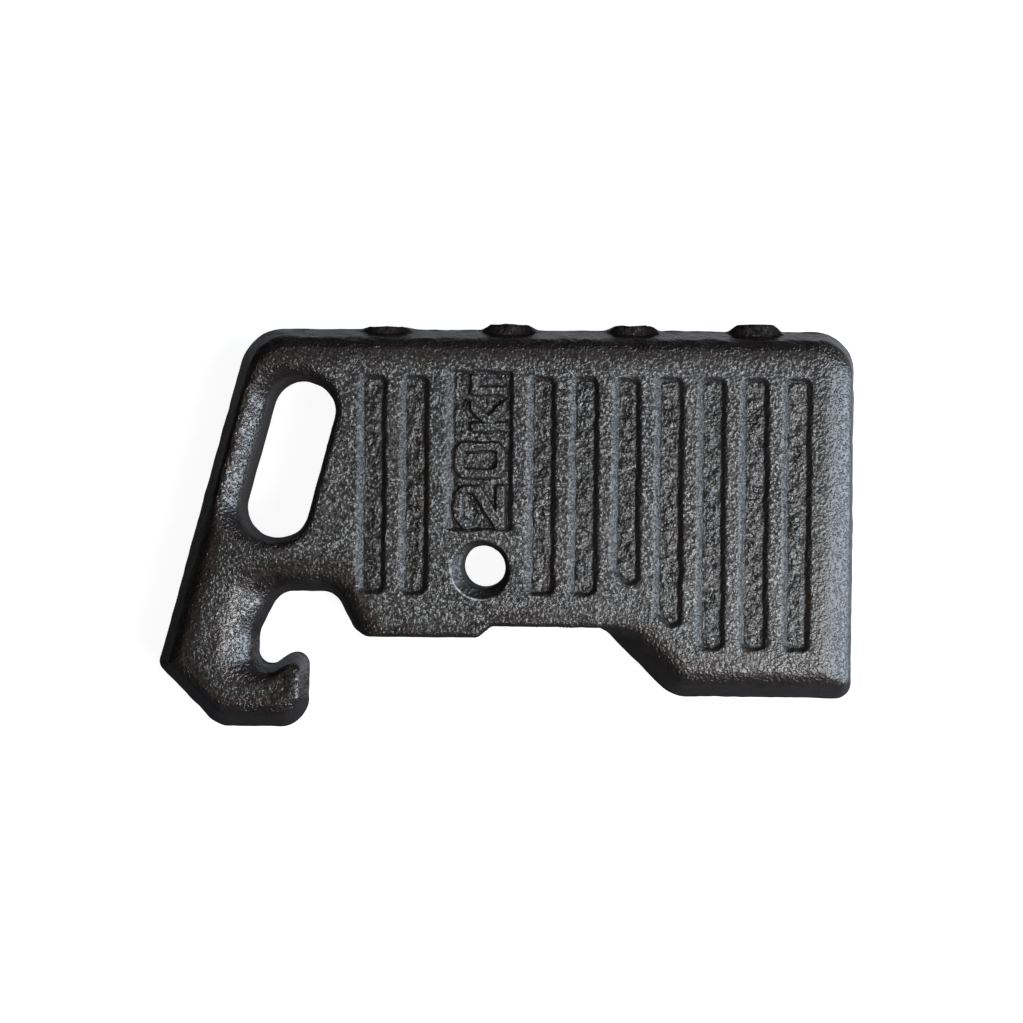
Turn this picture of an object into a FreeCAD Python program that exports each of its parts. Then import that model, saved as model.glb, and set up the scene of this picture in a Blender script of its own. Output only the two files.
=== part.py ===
import FreeCAD, Part
import math
import os
from collections import namedtuple

import Sketcher
from FreeCAD import Vector

# Front ballast weight for a tractor, one casting of grey iron that hangs by its hook.
#
# Frame: the origin is the axis of the tie-rod bore at mid-thickness. +X runs along the length, away from the
# hook, +Y runs through the thickness, away from the ribbed face, and +Z is up as the weight hangs.
# All lengths are millimetres and all angles degrees. A height or reach is measured from the bore axis.

# Driving sizes
SIZES = [
    # the plate
    ("thickness", 46.0, "plate thickness, face to face"),
    ("top_height", 137.0, "top edge above the bore axis"),
    ("right_reach", 212.0, "plain end from the bore axis"),
    ("bottom_drop", 74.0, "lowest edge of the plain end below the bore axis"),
    ("step_drop", 33.5, "raised underside beside the rest face, below the bore axis"),
    ("seat_drop", 40.0, "rest face below the bore axis"),
    ("seat_start", -73.5, "rest face, end at the throat"),
    ("seat_end", -3.0, "rest face, end at the step"),
    ("step_slope", 40.0, "slope between rest face and raised underside, from level"),
    ("rest_stock", 0.5, "stock ground off the rest face"),
    ("heel_start", 68.0, "where the heel slope leaves the raised underside"),
    ("heel_slope", 45.0, "slope of the heel, from level"),
    # the hook
    ("throat_drop", 15.2, "roof of the throat below the bore axis"),
    ("throat_slope", 27.0, "slope of the throat's sides, from upright"),
    ("throat_start", -118.6, "roof of the throat, end at the hook"),
    ("pocket_wall", -130.6, "back wall of the hook's pocket"),
    ("pocket_radius", 7.3, "bottom of the hook's pocket"),
    ("pocket_floor", 57.6, "lowest point of the hook's pocket below the bore axis"),
    ("lip_slope", 34.0, "slope from the pocket up to the nose, from level"),
    ("nose_radius", 7.2, "end of the hook's nose"),
    ("nose_face", -101.5, "outer side of the hook's nose"),
    ("hook_drop", 94.2, "underside of the hook below the bore axis"),
    ("toe_height", 59.0, "corner between the toe slope and the back of the hook, below the bore axis"),
    ("toe_reach", -189.5, "the same corner, from the bore axis"),
    ("toe_slope", 45.0, "slope of the toe, from level"),
    ("grip_slant", 14.8, "lean of the grip and of its slot, from upright"),
    # the corners of the outline
    ("top_left_corner", 27.0, "outline corner over the grip"),
    ("top_right_corner", 23.0, "outline corner at the top of the plain end"),
    ("bottom_right_corner", 9.0, "outline corner at the bottom of the plain end"),
    ("heel_corner", 20.0, "outline corner at each end of the heel slope"),
    ("step_corner", 5.0, "outline corner at each end of the step"),
    ("seat_corner", 10.0, "outline corner of the rest face at the throat"),
    ("throat_corner", 13.0, "outline corner at each end of the throat's roof"),
    ("pocket_corner", 15.0, "outline bend from the throat into the pocket"),
    ("hook_corner", 17.0, "outline corner under the nose"),
    ("toe_corner", 17.0, "outline corner at the foot of the toe slope"),
    ("back_corner", 7.0, "outline corner at the head of the toe slope"),
    ("least_corner", 1.0, "smallest corner of the faces"),
    # draft and edge round of each kind of side
    ("rim_draft", 22.0, "draft of the top and of the plain end"),
    ("rim_round", 12.0, "edge round of the top and of the plain end"),
    ("flank_draft", 27.0, "draft of the bottom, the heel and the hook's outside"),
    ("flank_round", 13.0, "edge round of the bottom, the heel and the hook's outside"),
    ("throat_draft", 14.0, "draft of the throat and the pocket wall"),
    ("throat_round", 13.0, "edge round of the throat and the pocket wall"),
    ("lip_draft", 12.0, "draft of the lip"),
    ("lip_round", 3.0, "edge round of the lip"),
    ("nose_draft", 8.0, "draft of the nose"),
    ("nose_round", 2.5, "edge round of the nose"),
    ("seat_round", 4.0, "edge round of the rest face and the raised underside"),
    ("grip_draft", 20.0, "draft of the slot on the grip's side"),
    ("grip_round", 12.0, "edge round of the slot on the grip's side"),
    ("slot_draft", 7.0, "draft of the slot's other sides"),
    ("slot_round", 5.5, "edge round of the slot's other sides"),
    # the hand slot
    ("slot_x", -113.0, "centre of the hand slot from the bore axis"),
    ("slot_height", 60.9, "centre of the hand slot above the bore axis"),
    ("slot_length", 92.6, "hand slot along its lean"),
    ("slot_width", 36.4, "hand slot across"),
    ("slot_corner", 17.6, "corner of the hand slot"),
    # the tie-rod bore
    ("bore_radius", 12.5, "tie-rod bore"),
    ("bore_length", 36.0, "straight part of the bore"),
    ("flare_radius", 17.4, "mouth of the bore at each face"),
    # the grooves
    ("groove_pitch", 24.0, "spacing of the grooves"),
    ("groove_width", 15.8, "groove at the face"),
    ("groove_depth", 3.0, "groove depth"),
    ("groove_draft", 25.0, "draft of the groove walls"),
    ("groove_corner", 5.0, "corner of the groove ends"),
    ("groove_last", 184.4, "far side of the groove at the plain end"),
    ("groove_top", 108.7, "upper end of the grooves"),
    ("groove_short", -15.4, "lower end of the grooves over the rest face"),
    ("groove_over_heel", -9.0, "lower end of the groove beside the heel"),
    ("groove_at_heel", -32.6, "lower end of the groove over the heel"),
    ("groove_long", -45.4, "lower end of the long grooves"),
    ("groove_cut", 8.0, "slanted end of the grooves beside the heel, along their foot"),
    # the panel and its figures
    ("panel_right", 16.0, "right side of the panel"),
    ("panel_width", 37.4, "panel across"),
    ("panel_top", 111.8, "upper end of the panel"),
    ("panel_bottom", 21.0, "lower end of the panel"),
    ("panel_depth", 2.4, "panel depth"),
    ("panel_corner", 3.0, "corner of the panel"),
    ("mark_raise", 1.5, "figures above the panel floor"),
    ("mark_stroke", 3.8, "stroke of the figures"),
    ("mark_foot", 11.4, "foot of the figures, from the bore axis"),
    ("figure_tall", 28.4, "height of the large figures"),
    ("unit_tall", 19.4, "height of the small letters"),
    ("two_start", 22.9, "start of the first figure"),
    ("two_wide", 23.6, "width of the first figure"),
    ("nought_start", 51.2, "start of the second figure"),
    ("nought_wide", 19.6, "width of the second figure"),
    ("kay_start", 77.6, "start of the first letter"),
    ("kay_wide", 17.0, "width of the first letter"),
    ("gee_start", 98.2, "start of the second letter"),
    ("gee_wide", 11.0, "width of the second letter"),
    ("nought_corner", 5.0, "outer corner of the second figure"),
    ("counter_corner", 2.0, "inner corner of the second figure"),
    # the gate stubs left by the moulder
    ("gate_first", -56.6, "middle of the first gate stub"),
    ("gate_pitch", 70.8, "spacing of the gate stubs"),
    ("gate_length", 30.0, "gate stub along the top"),
    ("gate_breadth", 16.0, "gate stub across the parting line"),
    ("gate_rise", 3.0, "gate stub above the top edge"),
    ("gate_root", 7.0, "gate stub below the top edge, inside the casting"),
    ("gate_corner", 1.2, "corner of the gate stubs"),
    ("gate_count", 4, "gate stubs"),
    # making
    ("mark_root", 0.6, "figures below the panel floor, inside the casting"),
    ("cutter_margin", 2.0, "cutters past the faces"),
]

doc = FreeCAD.newDocument("front_ballast_weight")


def fill_sheet(name, rows):
    """Makes a sheet with one named cell for each row of (alias, content, meaning)."""
    sheet = doc.addObject("Spreadsheet::Sheet", name)
    for number, (alias, content, meaning) in enumerate(rows, start=1):
        sheet.set(f"A{number}", meaning)
        sheet.set(f"B{number}", str(content))
        sheet.setAlias(f"B{number}", alias)
    doc.recompute()
    return sheet


sizes = fill_sheet("Sizes", SIZES)

# Sections
#
# Each half of the casting is drawn through sections parallel to the parting plane. On every kind of side the
# wall leans in from the parting plane at its draft and turns into the face in an arc, its edge round. The Bands
# sheet works out how far each kind of side has drawn in at each section.

KINDS = {kind: f"Sizes.{kind}_draft" for kind in ("rim", "flank", "throat", "lip", "nose", "grip", "slot")}
KINDS["seat"] = "0"
ARC_STEPS = 3
SECTIONS = ARC_STEPS + 1


def section_rows():
    """Depths of the sections: the end of the rim's straight wall, then equal turns of its arc to the face."""
    rows = []
    for step in range(1, SECTIONS + 1):
        turn = f"(90 - Sizes.rim_draft) * {SECTIONS - step} / {ARC_STEPS}"
        depth = f"=Sizes.thickness / 2 - Sizes.rim_round * (1 - cos({turn}))"
        rows.append((f"depth_{step}", depth, f"depth of section {step}"))
    return rows


def band_rows():
    """How far each kind of side has drawn in at each section."""
    rows = []
    for kind, draft in KINDS.items():
        edge = f"Sizes.{kind}_round"
        wall = f"(Sizes.thickness / 2 - {edge} * (1 - sin({draft})))"
        rows.append((f"{kind}_wall", f"={wall}", f"depth of the straight wall of a {kind} side"))
        rows.append((f"{kind}_band", f"={edge} * cos({draft}) + tan({draft}) * {kind}_wall", f"full band, {kind}"))
        for step in range(1, SECTIONS + 1):
            left = f"(Sizes.thickness / 2 - depth_{step})"
            arc = f"{kind}_band - sqrt({left} * (2 * {edge} - {left}))"
            formula = f"=depth_{step} < {kind}_wall ? depth_{step} * tan({draft}) : {arc}"
            rows.append((f"{kind}_{step}", formula, f"{kind} side at section {step}"))
    return rows


bands = fill_sheet("Bands", section_rows() + band_rows())

# The outline at the parting plane, clockwise as seen from the ribbed face. Each side is a line through the
# point (x, z) with the given outward direction, and the corner after it is rounded. A hollow corner grows
# towards the face and any other shrinks.
Side = namedtuple("Side", "name kind x z outward corner hollow")

OUTLINE = [
    Side("top", "rim", "0", "Sizes.top_height", "90", "top_right_corner", False),
    Side("plain_end", "rim", "Sizes.right_reach", "0", "0", "bottom_right_corner", False),
    Side("bottom", "flank", "0", "-Sizes.bottom_drop", "-90", "heel_corner", False),
    Side("heel", "flank", "Sizes.heel_start", "-Sizes.step_drop", "-90 - Sizes.heel_slope", "heel_corner", True),
    Side("underside", "seat", "0", "-Sizes.step_drop", "-90", "step_corner", True),
    Side("step", "seat", "Sizes.seat_end", "-Sizes.seat_drop", "-90 + Sizes.step_slope", "step_corner", False),
    Side("rest", "seat", "0", "-Sizes.seat_drop - Sizes.rest_stock", "-90", "seat_corner", False),
    Side("near_throat", "throat", "Sizes.seat_start", "-Sizes.seat_drop", "180 + Sizes.throat_slope",
         "throat_corner", True),
    Side("roof", "throat", "0", "-Sizes.throat_drop", "-90", "throat_corner", True),
    Side("far_throat", "throat", "Sizes.throat_start", "-Sizes.throat_drop", "-Sizes.throat_slope",
         "pocket_corner", True),
    Side("pocket", "throat", "Sizes.pocket_wall", "0", "0", "pocket_radius", True),
    Side("lip", "lip", "Sizes.pocket_wall + Sizes.pocket_radius * (1 + sin(Sizes.lip_slope))",
         "-Sizes.pocket_floor + Sizes.pocket_radius * (1 - cos(Sizes.lip_slope))",
         "90 + Sizes.lip_slope", "nose_radius", False),
    Side("nose", "nose", "Sizes.nose_face", "0", "0", "hook_corner", False),
    Side("hook_foot", "flank", "0", "-Sizes.hook_drop", "-90", "toe_corner", False),
    Side("toe", "flank", "Sizes.toe_reach", "-Sizes.toe_height", "-90 - Sizes.toe_slope", "back_corner", False),
    Side("back", "flank", "Sizes.toe_reach", "-Sizes.toe_height", "180 - Sizes.grip_slant",
         "top_left_corner", False),
]


def slot_side(name, kind, outward, half):
    """A side of the hand slot, half a width or length from its centre."""
    x = f"Sizes.slot_x + {half} / 2 * cos({outward})"
    z = f"Sizes.slot_height + {half} / 2 * sin({outward})"
    return Side(name, kind, x, z, outward, "slot_corner", True)


SLOT = [
    slot_side("slot_top", "slot", "90 - Sizes.grip_slant", "Sizes.slot_length"),
    slot_side("slot_plate", "slot", "-Sizes.grip_slant", "Sizes.slot_width"),
    slot_side("slot_floor", "slot", "-90 - Sizes.grip_slant", "Sizes.slot_length"),
    slot_side("slot_grip", "grip", "180 - Sizes.grip_slant", "Sizes.slot_width"),
]

# Grooves by their place from the plain end, each with the size of its lower end. The panel takes places 7 and 8.
GROOVES = {
    0: "groove_long",
    1: "groove_long",
    2: "groove_long",
    3: "groove_at_heel",
    4: "groove_over_heel",
    5: "groove_short",
    6: "groove_short",
    9: "groove_short",
    10: "groove_short",
}
SLANTED_GROOVES = (3, 4)


def box_sides(name, left, right, low, high, corner):
    """The four sides of an upright recess or block, from the expressions of its edges."""
    return [
        Side(f"{name}_top", None, "0", high, "90", corner, False),
        Side(f"{name}_right", None, right, "0", "0", corner, False),
        Side(f"{name}_foot", None, "0", low, "-90", corner, False),
        Side(f"{name}_left", None, left, "0", "180", corner, False),
    ]


def groove_sides(place):
    """A groove counted from the plain end. Beside the heel its lower corner is cut off along the heel slope."""
    right = f"Sizes.groove_last - {place} * Sizes.groove_pitch"
    left = f"{right} - Sizes.groove_width"
    low = f"Sizes.{GROOVES[place]}"
    sides = box_sides(f"groove_{place}", left, right, low, "Sizes.groove_top", "groove_corner")
    if place in SLANTED_GROOVES:
        cut = Side(f"groove_{place}_cut", None, f"{left} + Sizes.groove_cut", low, "-90 - Sizes.heel_slope",
                   "groove_corner", False)
        sides.insert(3, cut)
    return sides


GROOVE_LOOPS = [groove_sides(place) for place in GROOVES]
PANEL = box_sides("panel", "Sizes.panel_right - Sizes.panel_width", "Sizes.panel_right",
                  "Sizes.panel_bottom", "Sizes.panel_top", "panel_corner")
GATE = box_sides("gate", "Sizes.gate_first - Sizes.gate_length / 2", "Sizes.gate_first + Sizes.gate_length / 2",
                 "Sizes.top_height - Sizes.gate_root", "Sizes.top_height + Sizes.gate_rise", "gate_corner")


def figure_corners(name, tall, corners):
    """
    The corners of a straight-sided figure of the mass mark. The figures read upwards along the panel, with
    their tops towards the hook. Each corner is given (along, up) from the figure's foot, with W for its width,
    T for its height and S for a stroke.
    """
    meaning = {"W": f"Sizes.{name}_wide", "T": f"Sizes.{tall}", "S": "Sizes.mark_stroke"}

    def written(share):
        return " ".join(meaning.get(word, word) for word in share.split())

    return [
        (f"{name}_{number}", f"Sizes.mark_foot - ({written(up)})", f"Sizes.{name}_start + ({written(along)})")
        for number, (along, up) in enumerate(corners)
    ]


TWO = [("0", "0"), ("W", "0"), ("W", "S"), ("1.9 * S", "S"), ("W", "0.5 * T"), ("W", "T"), ("0", "T"),
       ("0", "0.72 * T"), ("S", "0.72 * T"), ("S", "T - S"), ("W - S", "T - S"), ("W - S", "0.62 * T"),
       ("0", "1.15 * S")]
KAY = [("0", "0"), ("S", "0"), ("S", "0.38 * T"), ("W - 1.3 * S", "0"), ("W", "0"), ("1.9 * S", "0.5 * T"),
       ("W", "T"), ("W - 1.3 * S", "T"), ("S", "0.62 * T"), ("S", "T"), ("0", "T")]
GEE = [("0", "0"), ("S", "0"), ("S", "T - S"), ("W", "T - S"), ("W", "T"), ("0", "T")]

STRAIGHT_FIGURES = [
    figure_corners("two", "figure_tall", TWO),
    figure_corners("kay", "unit_tall", KAY),
    figure_corners("gee", "unit_tall", GEE),
]
NOUGHT_HEAD = "Sizes.mark_foot - Sizes.figure_tall"
NOUGHT_END = "Sizes.nought_start + Sizes.nought_wide"
NOUGHT = [
    box_sides("nought", NOUGHT_HEAD, "Sizes.mark_foot", "Sizes.nought_start", NOUGHT_END, "nought_corner"),
    box_sides("counter", f"{NOUGHT_HEAD} + Sizes.mark_stroke", "Sizes.mark_foot - Sizes.mark_stroke",
              "Sizes.nought_start + Sizes.mark_stroke", f"{NOUGHT_END} - Sizes.mark_stroke", "counter_corner"),
]

# Half the section of the bore's cutter, as corners (name, x, y)
HALF_PLATE, HALF_WAIST = "Sizes.thickness / 2", "Sizes.bore_length / 2"
BORE = [
    ("bore_0", "0", f"-{HALF_PLATE} - Sizes.cutter_margin"),
    ("bore_1", "Sizes.flare_radius", f"-{HALF_PLATE} - Sizes.cutter_margin"),
    ("bore_2", "Sizes.flare_radius", f"-{HALF_PLATE}"),
    ("bore_3", "Sizes.bore_radius", f"-{HALF_WAIST}"),
    ("bore_4", "Sizes.bore_radius", HALF_WAIST),
    ("bore_5", "Sizes.flare_radius", HALF_PLATE),
    ("bore_6", "Sizes.flare_radius", f"{HALF_PLATE} + Sizes.cutter_margin"),
    ("bore_7", "0", f"{HALF_PLATE} + Sizes.cutter_margin"),
]

# The stock below the finished rest face, as corners (name, x, z)
REST_LEFT, REST_RIGHT = "Sizes.seat_start - Sizes.cutter_margin", "Sizes.seat_end + Sizes.cutter_margin"
REST_LOW = "-Sizes.seat_drop - Sizes.rest_stock - Sizes.cutter_margin"
REST = [
    ("rest_0", REST_LEFT, "-Sizes.seat_drop"),
    ("rest_1", REST_RIGHT, "-Sizes.seat_drop"),
    ("rest_2", REST_RIGHT, REST_LOW),
    ("rest_3", REST_LEFT, REST_LOW),
]


def line_rows():
    """Where every side and corner lies: for a side, a point of its line and its outward direction."""
    rows = []
    for side in (side for loop in [OUTLINE, SLOT, PANEL, GATE] + GROOVE_LOOPS + NOUGHT for side in loop):
        rows.append((f"{side.name}_x", f"={side.x}", f"{side.name}, a point along"))
        rows.append((f"{side.name}_z", f"={side.z}", f"{side.name}, the same point's height"))
        rows.append((f"{side.name}_way", f"={side.outward}", f"{side.name}, its outward direction"))
    for name, x, z in (corner for polygon in STRAIGHT_FIGURES + [BORE, REST] for corner in polygon):
        rows.append((f"{name}_x", f"={x}", f"{name}, a corner along"))
        rows.append((f"{name}_z", f"={z}", f"{name}, the same corner's height"))
    return rows


lines = fill_sheet("Lines", line_rows())

# Drawing

HOLLOW_GROWTH = 0.8
CORNER_SHRINK = 0.6


def new_sketch(body, name, depth=None):
    """A sketch parallel to the parting plane, a given depth in front of it."""
    sketch = body.newObject("Sketcher::SketchObject", name)
    plane = next(feature for feature in body.Origin.OriginFeatures if feature.Role == "XZ_Plane")
    sketch.AttachmentSupport = [(plane, "")]
    sketch.MapMode = "FlatFace"
    if depth is not None:
        sketch.setExpression("AttachmentOffset.Base.z", depth)
    return sketch


def band(side, step):
    """A side's inset at a section: its expression and its value."""
    if side.kind is None or step == 0:
        return "0", 0.0
    alias = f"{side.kind}_{step}"
    return f"Bands.{alias}", getattr(bands, alias)


def corner_radius(side, following, step):
    """The radius of the corner after a side at a section: its expression and its value."""
    radius = f"Sizes.{side.corner}"
    value = getattr(sizes, side.corner)
    (a, a_value), (b, b_value) = band(side, step), band(following, step)
    mean, mean_value = f"({a} + {b}) / 2", (a_value + b_value) / 2
    if side.hollow:
        return f"{radius} + {HOLLOW_GROWTH} * {mean}", value + HOLLOW_GROWTH * mean_value
    text = f"max({radius} - {CORNER_SHRINK} * {mean}; Sizes.least_corner)"
    return text, max(value - CORNER_SHRINK * mean_value, sizes.least_corner)


def crossing(first, second):
    """Where two lines, each a point and a heading, cross."""
    (p, a), (q, b) = first, second
    along = Vector(math.cos(a), math.sin(a), 0)
    other = Vector(math.cos(b), math.sin(b), 0)
    reach = (q - p).cross(other).z / along.cross(other).z
    return p + along * reach


def hold(sketch, rules):
    """Adds constraints, each with the formula that its size follows, or None."""
    first = sketch.ConstraintCount
    sketch.addConstraint([constraint for constraint, _ in rules])
    for number, (_, formula) in enumerate(rules, start=first):
        if formula is not None:
            sketch.setExpression(f"Constraints[{number}]", formula)


def line_rules(side, course, segment, mark, step, inward):
    """Holds a segment to its side's line: a mark on it has its place, and the segment its direction."""
    point, way = course
    inset = f"{inward} * {band(side, step)[0]}"
    placed = "Lines.{0}_{1} - {2} * {3}(Lines.{0}_way)"
    return [
        (Sketcher.Constraint("PointOnObject", mark, 1, segment), None),
        (Sketcher.Constraint("DistanceX", -1, 1, mark, 1, point.x), placed.format(side.name, "x", inset, "cos")),
        (Sketcher.Constraint("DistanceY", -1, 1, mark, 1, point.y), placed.format(side.name, "z", inset, "sin")),
        (Sketcher.Constraint("Angle", segment, way), f"Lines.{side.name}_way - 90"),
    ]


def corner_arc(start, end, heading, radius, turn):
    """The arc that rounds a corner: from the end of one side to the start of the next."""
    left = Vector(-heading.y, heading.x, 0)
    centre = start + left * math.copysign(radius, turn)
    first, last = (start, end) if turn > 0 else (end, start)
    low, high = (math.atan2((place - centre).y, (place - centre).x) for place in (first, last))
    if high < low:
        high += 2 * math.pi
    return Part.ArcOfCircle(Part.Circle(centre, Vector(0, 0, 1), radius), low, high)


def draw_loop(sketch, sides, step=0, into_solid=True):
    """Draws a closed loop of straight sides with rounded corners, each side held to its line by the sheets."""
    inward = 1 if into_solid else -1
    count = len(sides)
    courses = []
    for side in sides:
        way = math.radians(getattr(lines, f"{side.name}_way"))
        inset = band(side, step)[1] * inward
        x = getattr(lines, f"{side.name}_x") - inset * math.cos(way)
        z = getattr(lines, f"{side.name}_z") - inset * math.sin(way)
        courses.append((Vector(x, z, 0), way - math.pi / 2))
    headings = [Vector(math.cos(way), math.sin(way), 0) for _, way in courses]
    joints = []
    for i, side in enumerate(sides):
        following = (i + 1) % count
        corner = crossing(courses[i], courses[following])
        formula, radius = corner_radius(side, sides[following], step)
        turn = math.remainder(courses[following][1] - courses[i][1], 2 * math.pi)
        cut = radius * abs(math.tan(turn / 2))
        joints.append((corner - headings[i] * cut, corner + headings[following] * cut, formula, radius, turn))
    segments = sketch.addGeometry(
        [Part.LineSegment(joints[i - 1][1], joints[i][0]) for i in range(count)], False)
    arcs = sketch.addGeometry(
        [corner_arc(start, end, headings[i], radius, turn)
         for i, (start, end, _, radius, turn) in enumerate(joints)], False)
    marks = sketch.addGeometry([Part.Point(point) for point, _ in courses], True)
    rules = []
    for i, side in enumerate(sides):
        formula, radius, turn = joints[i][2:]
        into, out_of = (1, 2) if turn > 0 else (2, 1)
        rules += line_rules(side, courses[i], segments[i], marks[i], step, inward)
        rules += [
            (Sketcher.Constraint("Tangent", segments[i], 2, arcs[i], into), None),
            (Sketcher.Constraint("Tangent", arcs[i], out_of, segments[(i + 1) % count], 1), None),
            (Sketcher.Constraint("Radius", arcs[i], radius), formula),
        ]
    hold(sketch, rules)


def draw_polygon(sketch, corners):
    """Draws a closed polygon, each corner held to its place in the sheet."""
    places = [Vector(getattr(lines, f"{name}_x"), getattr(lines, f"{name}_z"), 0) for name, _, _ in corners]
    edges = sketch.addGeometry(
        [Part.LineSegment(place, following) for place, following in zip(places, places[1:] + places[:1])], False)
    rules = []
    for number, (name, _, _) in enumerate(corners):
        edge, place = edges[number], places[number]
        rules += [
            (Sketcher.Constraint("Coincident", edges[number - 1], 2, edge, 1), None),
            (Sketcher.Constraint("DistanceX", -1, 1, edge, 1, place.x), f"Lines.{name}_x"),
            (Sketcher.Constraint("DistanceY", -1, 1, edge, 1, place.y), f"Lines.{name}_z"),
        ]
    hold(sketch, rules)


def loft(body, kind, name, sides, into_solid):
    """A half of the casting or of its slot, drawn straight through the sections from parting plane to face."""
    sketches = [new_sketch(body, f"{name}_parting")]
    draw_loop(sketches[0], sides)
    for step in range(1, SECTIONS + 1):
        sketch = new_sketch(body, f"{name}_section_{step}", f"Bands.depth_{step}")
        draw_loop(sketch, sides, step, into_solid)
        sketches.append(sketch)
    doc.recompute()
    feature = body.newObject(kind, name)
    feature.Profile = sketches[0]
    feature.Sections = sketches[1:]
    feature.Ruled = True
    feature.Refine = False
    doc.recompute()
    return feature


def build_bore(body):
    """The tie-rod bore: straight through the middle and flared at each face, turned about the Y axis."""
    sketch = body.newObject("Sketcher::SketchObject", "bore_section")
    plane = next(feature for feature in body.Origin.OriginFeatures if feature.Role == "XY_Plane")
    sketch.AttachmentSupport = [(plane, "")]
    sketch.MapMode = "FlatFace"
    draw_polygon(sketch, BORE)
    doc.recompute()
    bore = body.newObject("PartDesign::Groove", "bore")
    bore.Profile = sketch
    bore.ReferenceAxis = (sketch, ["V_Axis"])
    bore.Angle = 360
    bore.Refine = False
    doc.recompute()
    return bore


def grind_rest_face(body):
    """The rest face, ground flat: it bears on the bracket, so its stock comes off right across the casting."""
    sketch = new_sketch(body, "rest_stock_outline")
    draw_polygon(sketch, REST)
    doc.recompute()
    pocket = body.newObject("PartDesign::Pocket", "ground_rest_face")
    pocket.Profile = sketch
    pocket.SideType = "Symmetric"
    pocket.setExpression("Length", "Sizes.thickness + 2 * Sizes.cutter_margin")
    pocket.Refine = False
    doc.recompute()
    return pocket


def build_recess(body, name, sides, depth):
    """A recess of a named depth cut into the ribbed face, with drafted walls."""
    sketch = new_sketch(body, f"{name}_outline", "Sizes.thickness / 2")
    draw_loop(sketch, sides)
    doc.recompute()
    pocket = body.newObject("PartDesign::Pocket", name)
    pocket.Profile = sketch
    pocket.setExpression("Length", depth)
    pocket.setExpression("TaperAngle", "-Sizes.groove_draft")
    pocket.Refine = False
    doc.recompute()
    return pocket


def build_figures(body):
    """The figures of the mass mark, standing on the panel's floor."""
    sketch = new_sketch(body, "figures_outline", "Sizes.thickness / 2 - Sizes.panel_depth - Sizes.mark_root")
    for sides in NOUGHT:
        draw_loop(sketch, sides)
    for corners in STRAIGHT_FIGURES:
        draw_polygon(sketch, corners)
    doc.recompute()
    pad = body.newObject("PartDesign::Pad", "figures")
    pad.Profile = sketch
    pad.setExpression("Length", "Sizes.mark_raise + Sizes.mark_root")
    pad.Refine = False
    doc.recompute()
    return pad


def build_gates(body):
    """The four gate stubs across the parting line on the top edge."""
    sketch = new_sketch(body, "gate_outline")
    draw_loop(sketch, GATE)
    doc.recompute()
    pad = body.newObject("PartDesign::Pad", "gate")
    pad.Profile = sketch
    pad.SideType = "Symmetric"
    pad.setExpression("Length", "Sizes.gate_breadth")
    pad.Refine = False
    doc.recompute()
    row = body.newObject("PartDesign::LinearPattern", "gates")
    row.Originals = [pad]
    row.Direction = (sketch, ["H_Axis"])
    row.Mode = "Spacing"
    row.setExpression("Offset", "Sizes.gate_pitch")
    row.setExpression("Occurrences", "Sizes.gate_count")
    row.Refine = False
    body.Tip = row
    doc.recompute()
    return row


def build_casting():
    """The whole weight: two like halves about the parting plane, then the bore, gates, grooves and figures."""
    body = doc.addObject("PartDesign::Body", "weight_casting")
    body.Label = "weight_casting"
    loft(body, "PartDesign::AdditiveLoft", "half", OUTLINE, True)
    loft(body, "PartDesign::SubtractiveLoft", "hand_slot", SLOT, False)
    whole = body.newObject("PartDesign::Mirrored", "both_halves")
    whole.TransformMode = "Whole shape"
    whole.Refine = False
    plane = next(feature for feature in body.Origin.OriginFeatures if feature.Role == "XZ_Plane")
    whole.MirrorPlane = (plane, [""])
    body.Tip = whole
    doc.recompute()
    build_bore(body)
    grind_rest_face(body)
    build_gates(body)
    for place, sides in zip(GROOVES, GROOVE_LOOPS):
        build_recess(body, f"groove_{place}", sides, "Sizes.groove_depth")
    build_recess(body, "panel", PANEL, "Sizes.panel_depth")
    build_figures(body)
    return body


def check(bodies):
    """Stops with a message when an object failed or a solid is not sound."""
    doc.recompute()
    for thing in doc.Objects:
        if "Invalid" in thing.State or "Error" in thing.State:
            raise RuntimeError(f"{thing.Name} failed: {thing.getStatusString()}")
    for body in bodies:
        if body.Shape.isNull() or not body.Shape.isValid() or len(body.Shape.Solids) != 1:
            raise RuntimeError(f"{body.Label} is not one sound solid")


casting = build_casting()
check([casting])

os.makedirs("parts", exist_ok=True)
casting.Shape.exportStep(f"parts/{casting.Label}.step")
shape = casting.Shape
print(f"{casting.Label}: volume {shape.Volume / 1000:.1f} cm3, {len(shape.Faces)} faces, box {shape.BoundBox}")
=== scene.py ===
# %% [markdown]
# # A front ballast weight
#
# The object is a plate of grey iron that hangs by its hook on the front of a tractor. It is poured
# as one casting, so it is one closed skin here too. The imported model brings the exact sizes. This
# script makes the skin that the foundry would leave: rounded rims, wavy grooves, a sandy grain and
# a thin coat of black paint.

import math

import bpy
import numpy as np
from mathutils import Matrix, Vector
from mathutils.geometry import delaunay_2d_cdt


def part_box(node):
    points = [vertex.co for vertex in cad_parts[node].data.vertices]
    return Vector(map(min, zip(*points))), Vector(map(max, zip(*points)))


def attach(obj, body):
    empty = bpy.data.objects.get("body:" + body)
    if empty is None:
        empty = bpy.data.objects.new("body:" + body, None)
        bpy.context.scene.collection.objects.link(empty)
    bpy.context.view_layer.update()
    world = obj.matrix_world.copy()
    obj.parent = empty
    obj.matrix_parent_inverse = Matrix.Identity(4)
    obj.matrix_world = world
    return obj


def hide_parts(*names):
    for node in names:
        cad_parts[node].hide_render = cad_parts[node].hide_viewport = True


NODE = "weight_casting"
MM = 0.001

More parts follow.
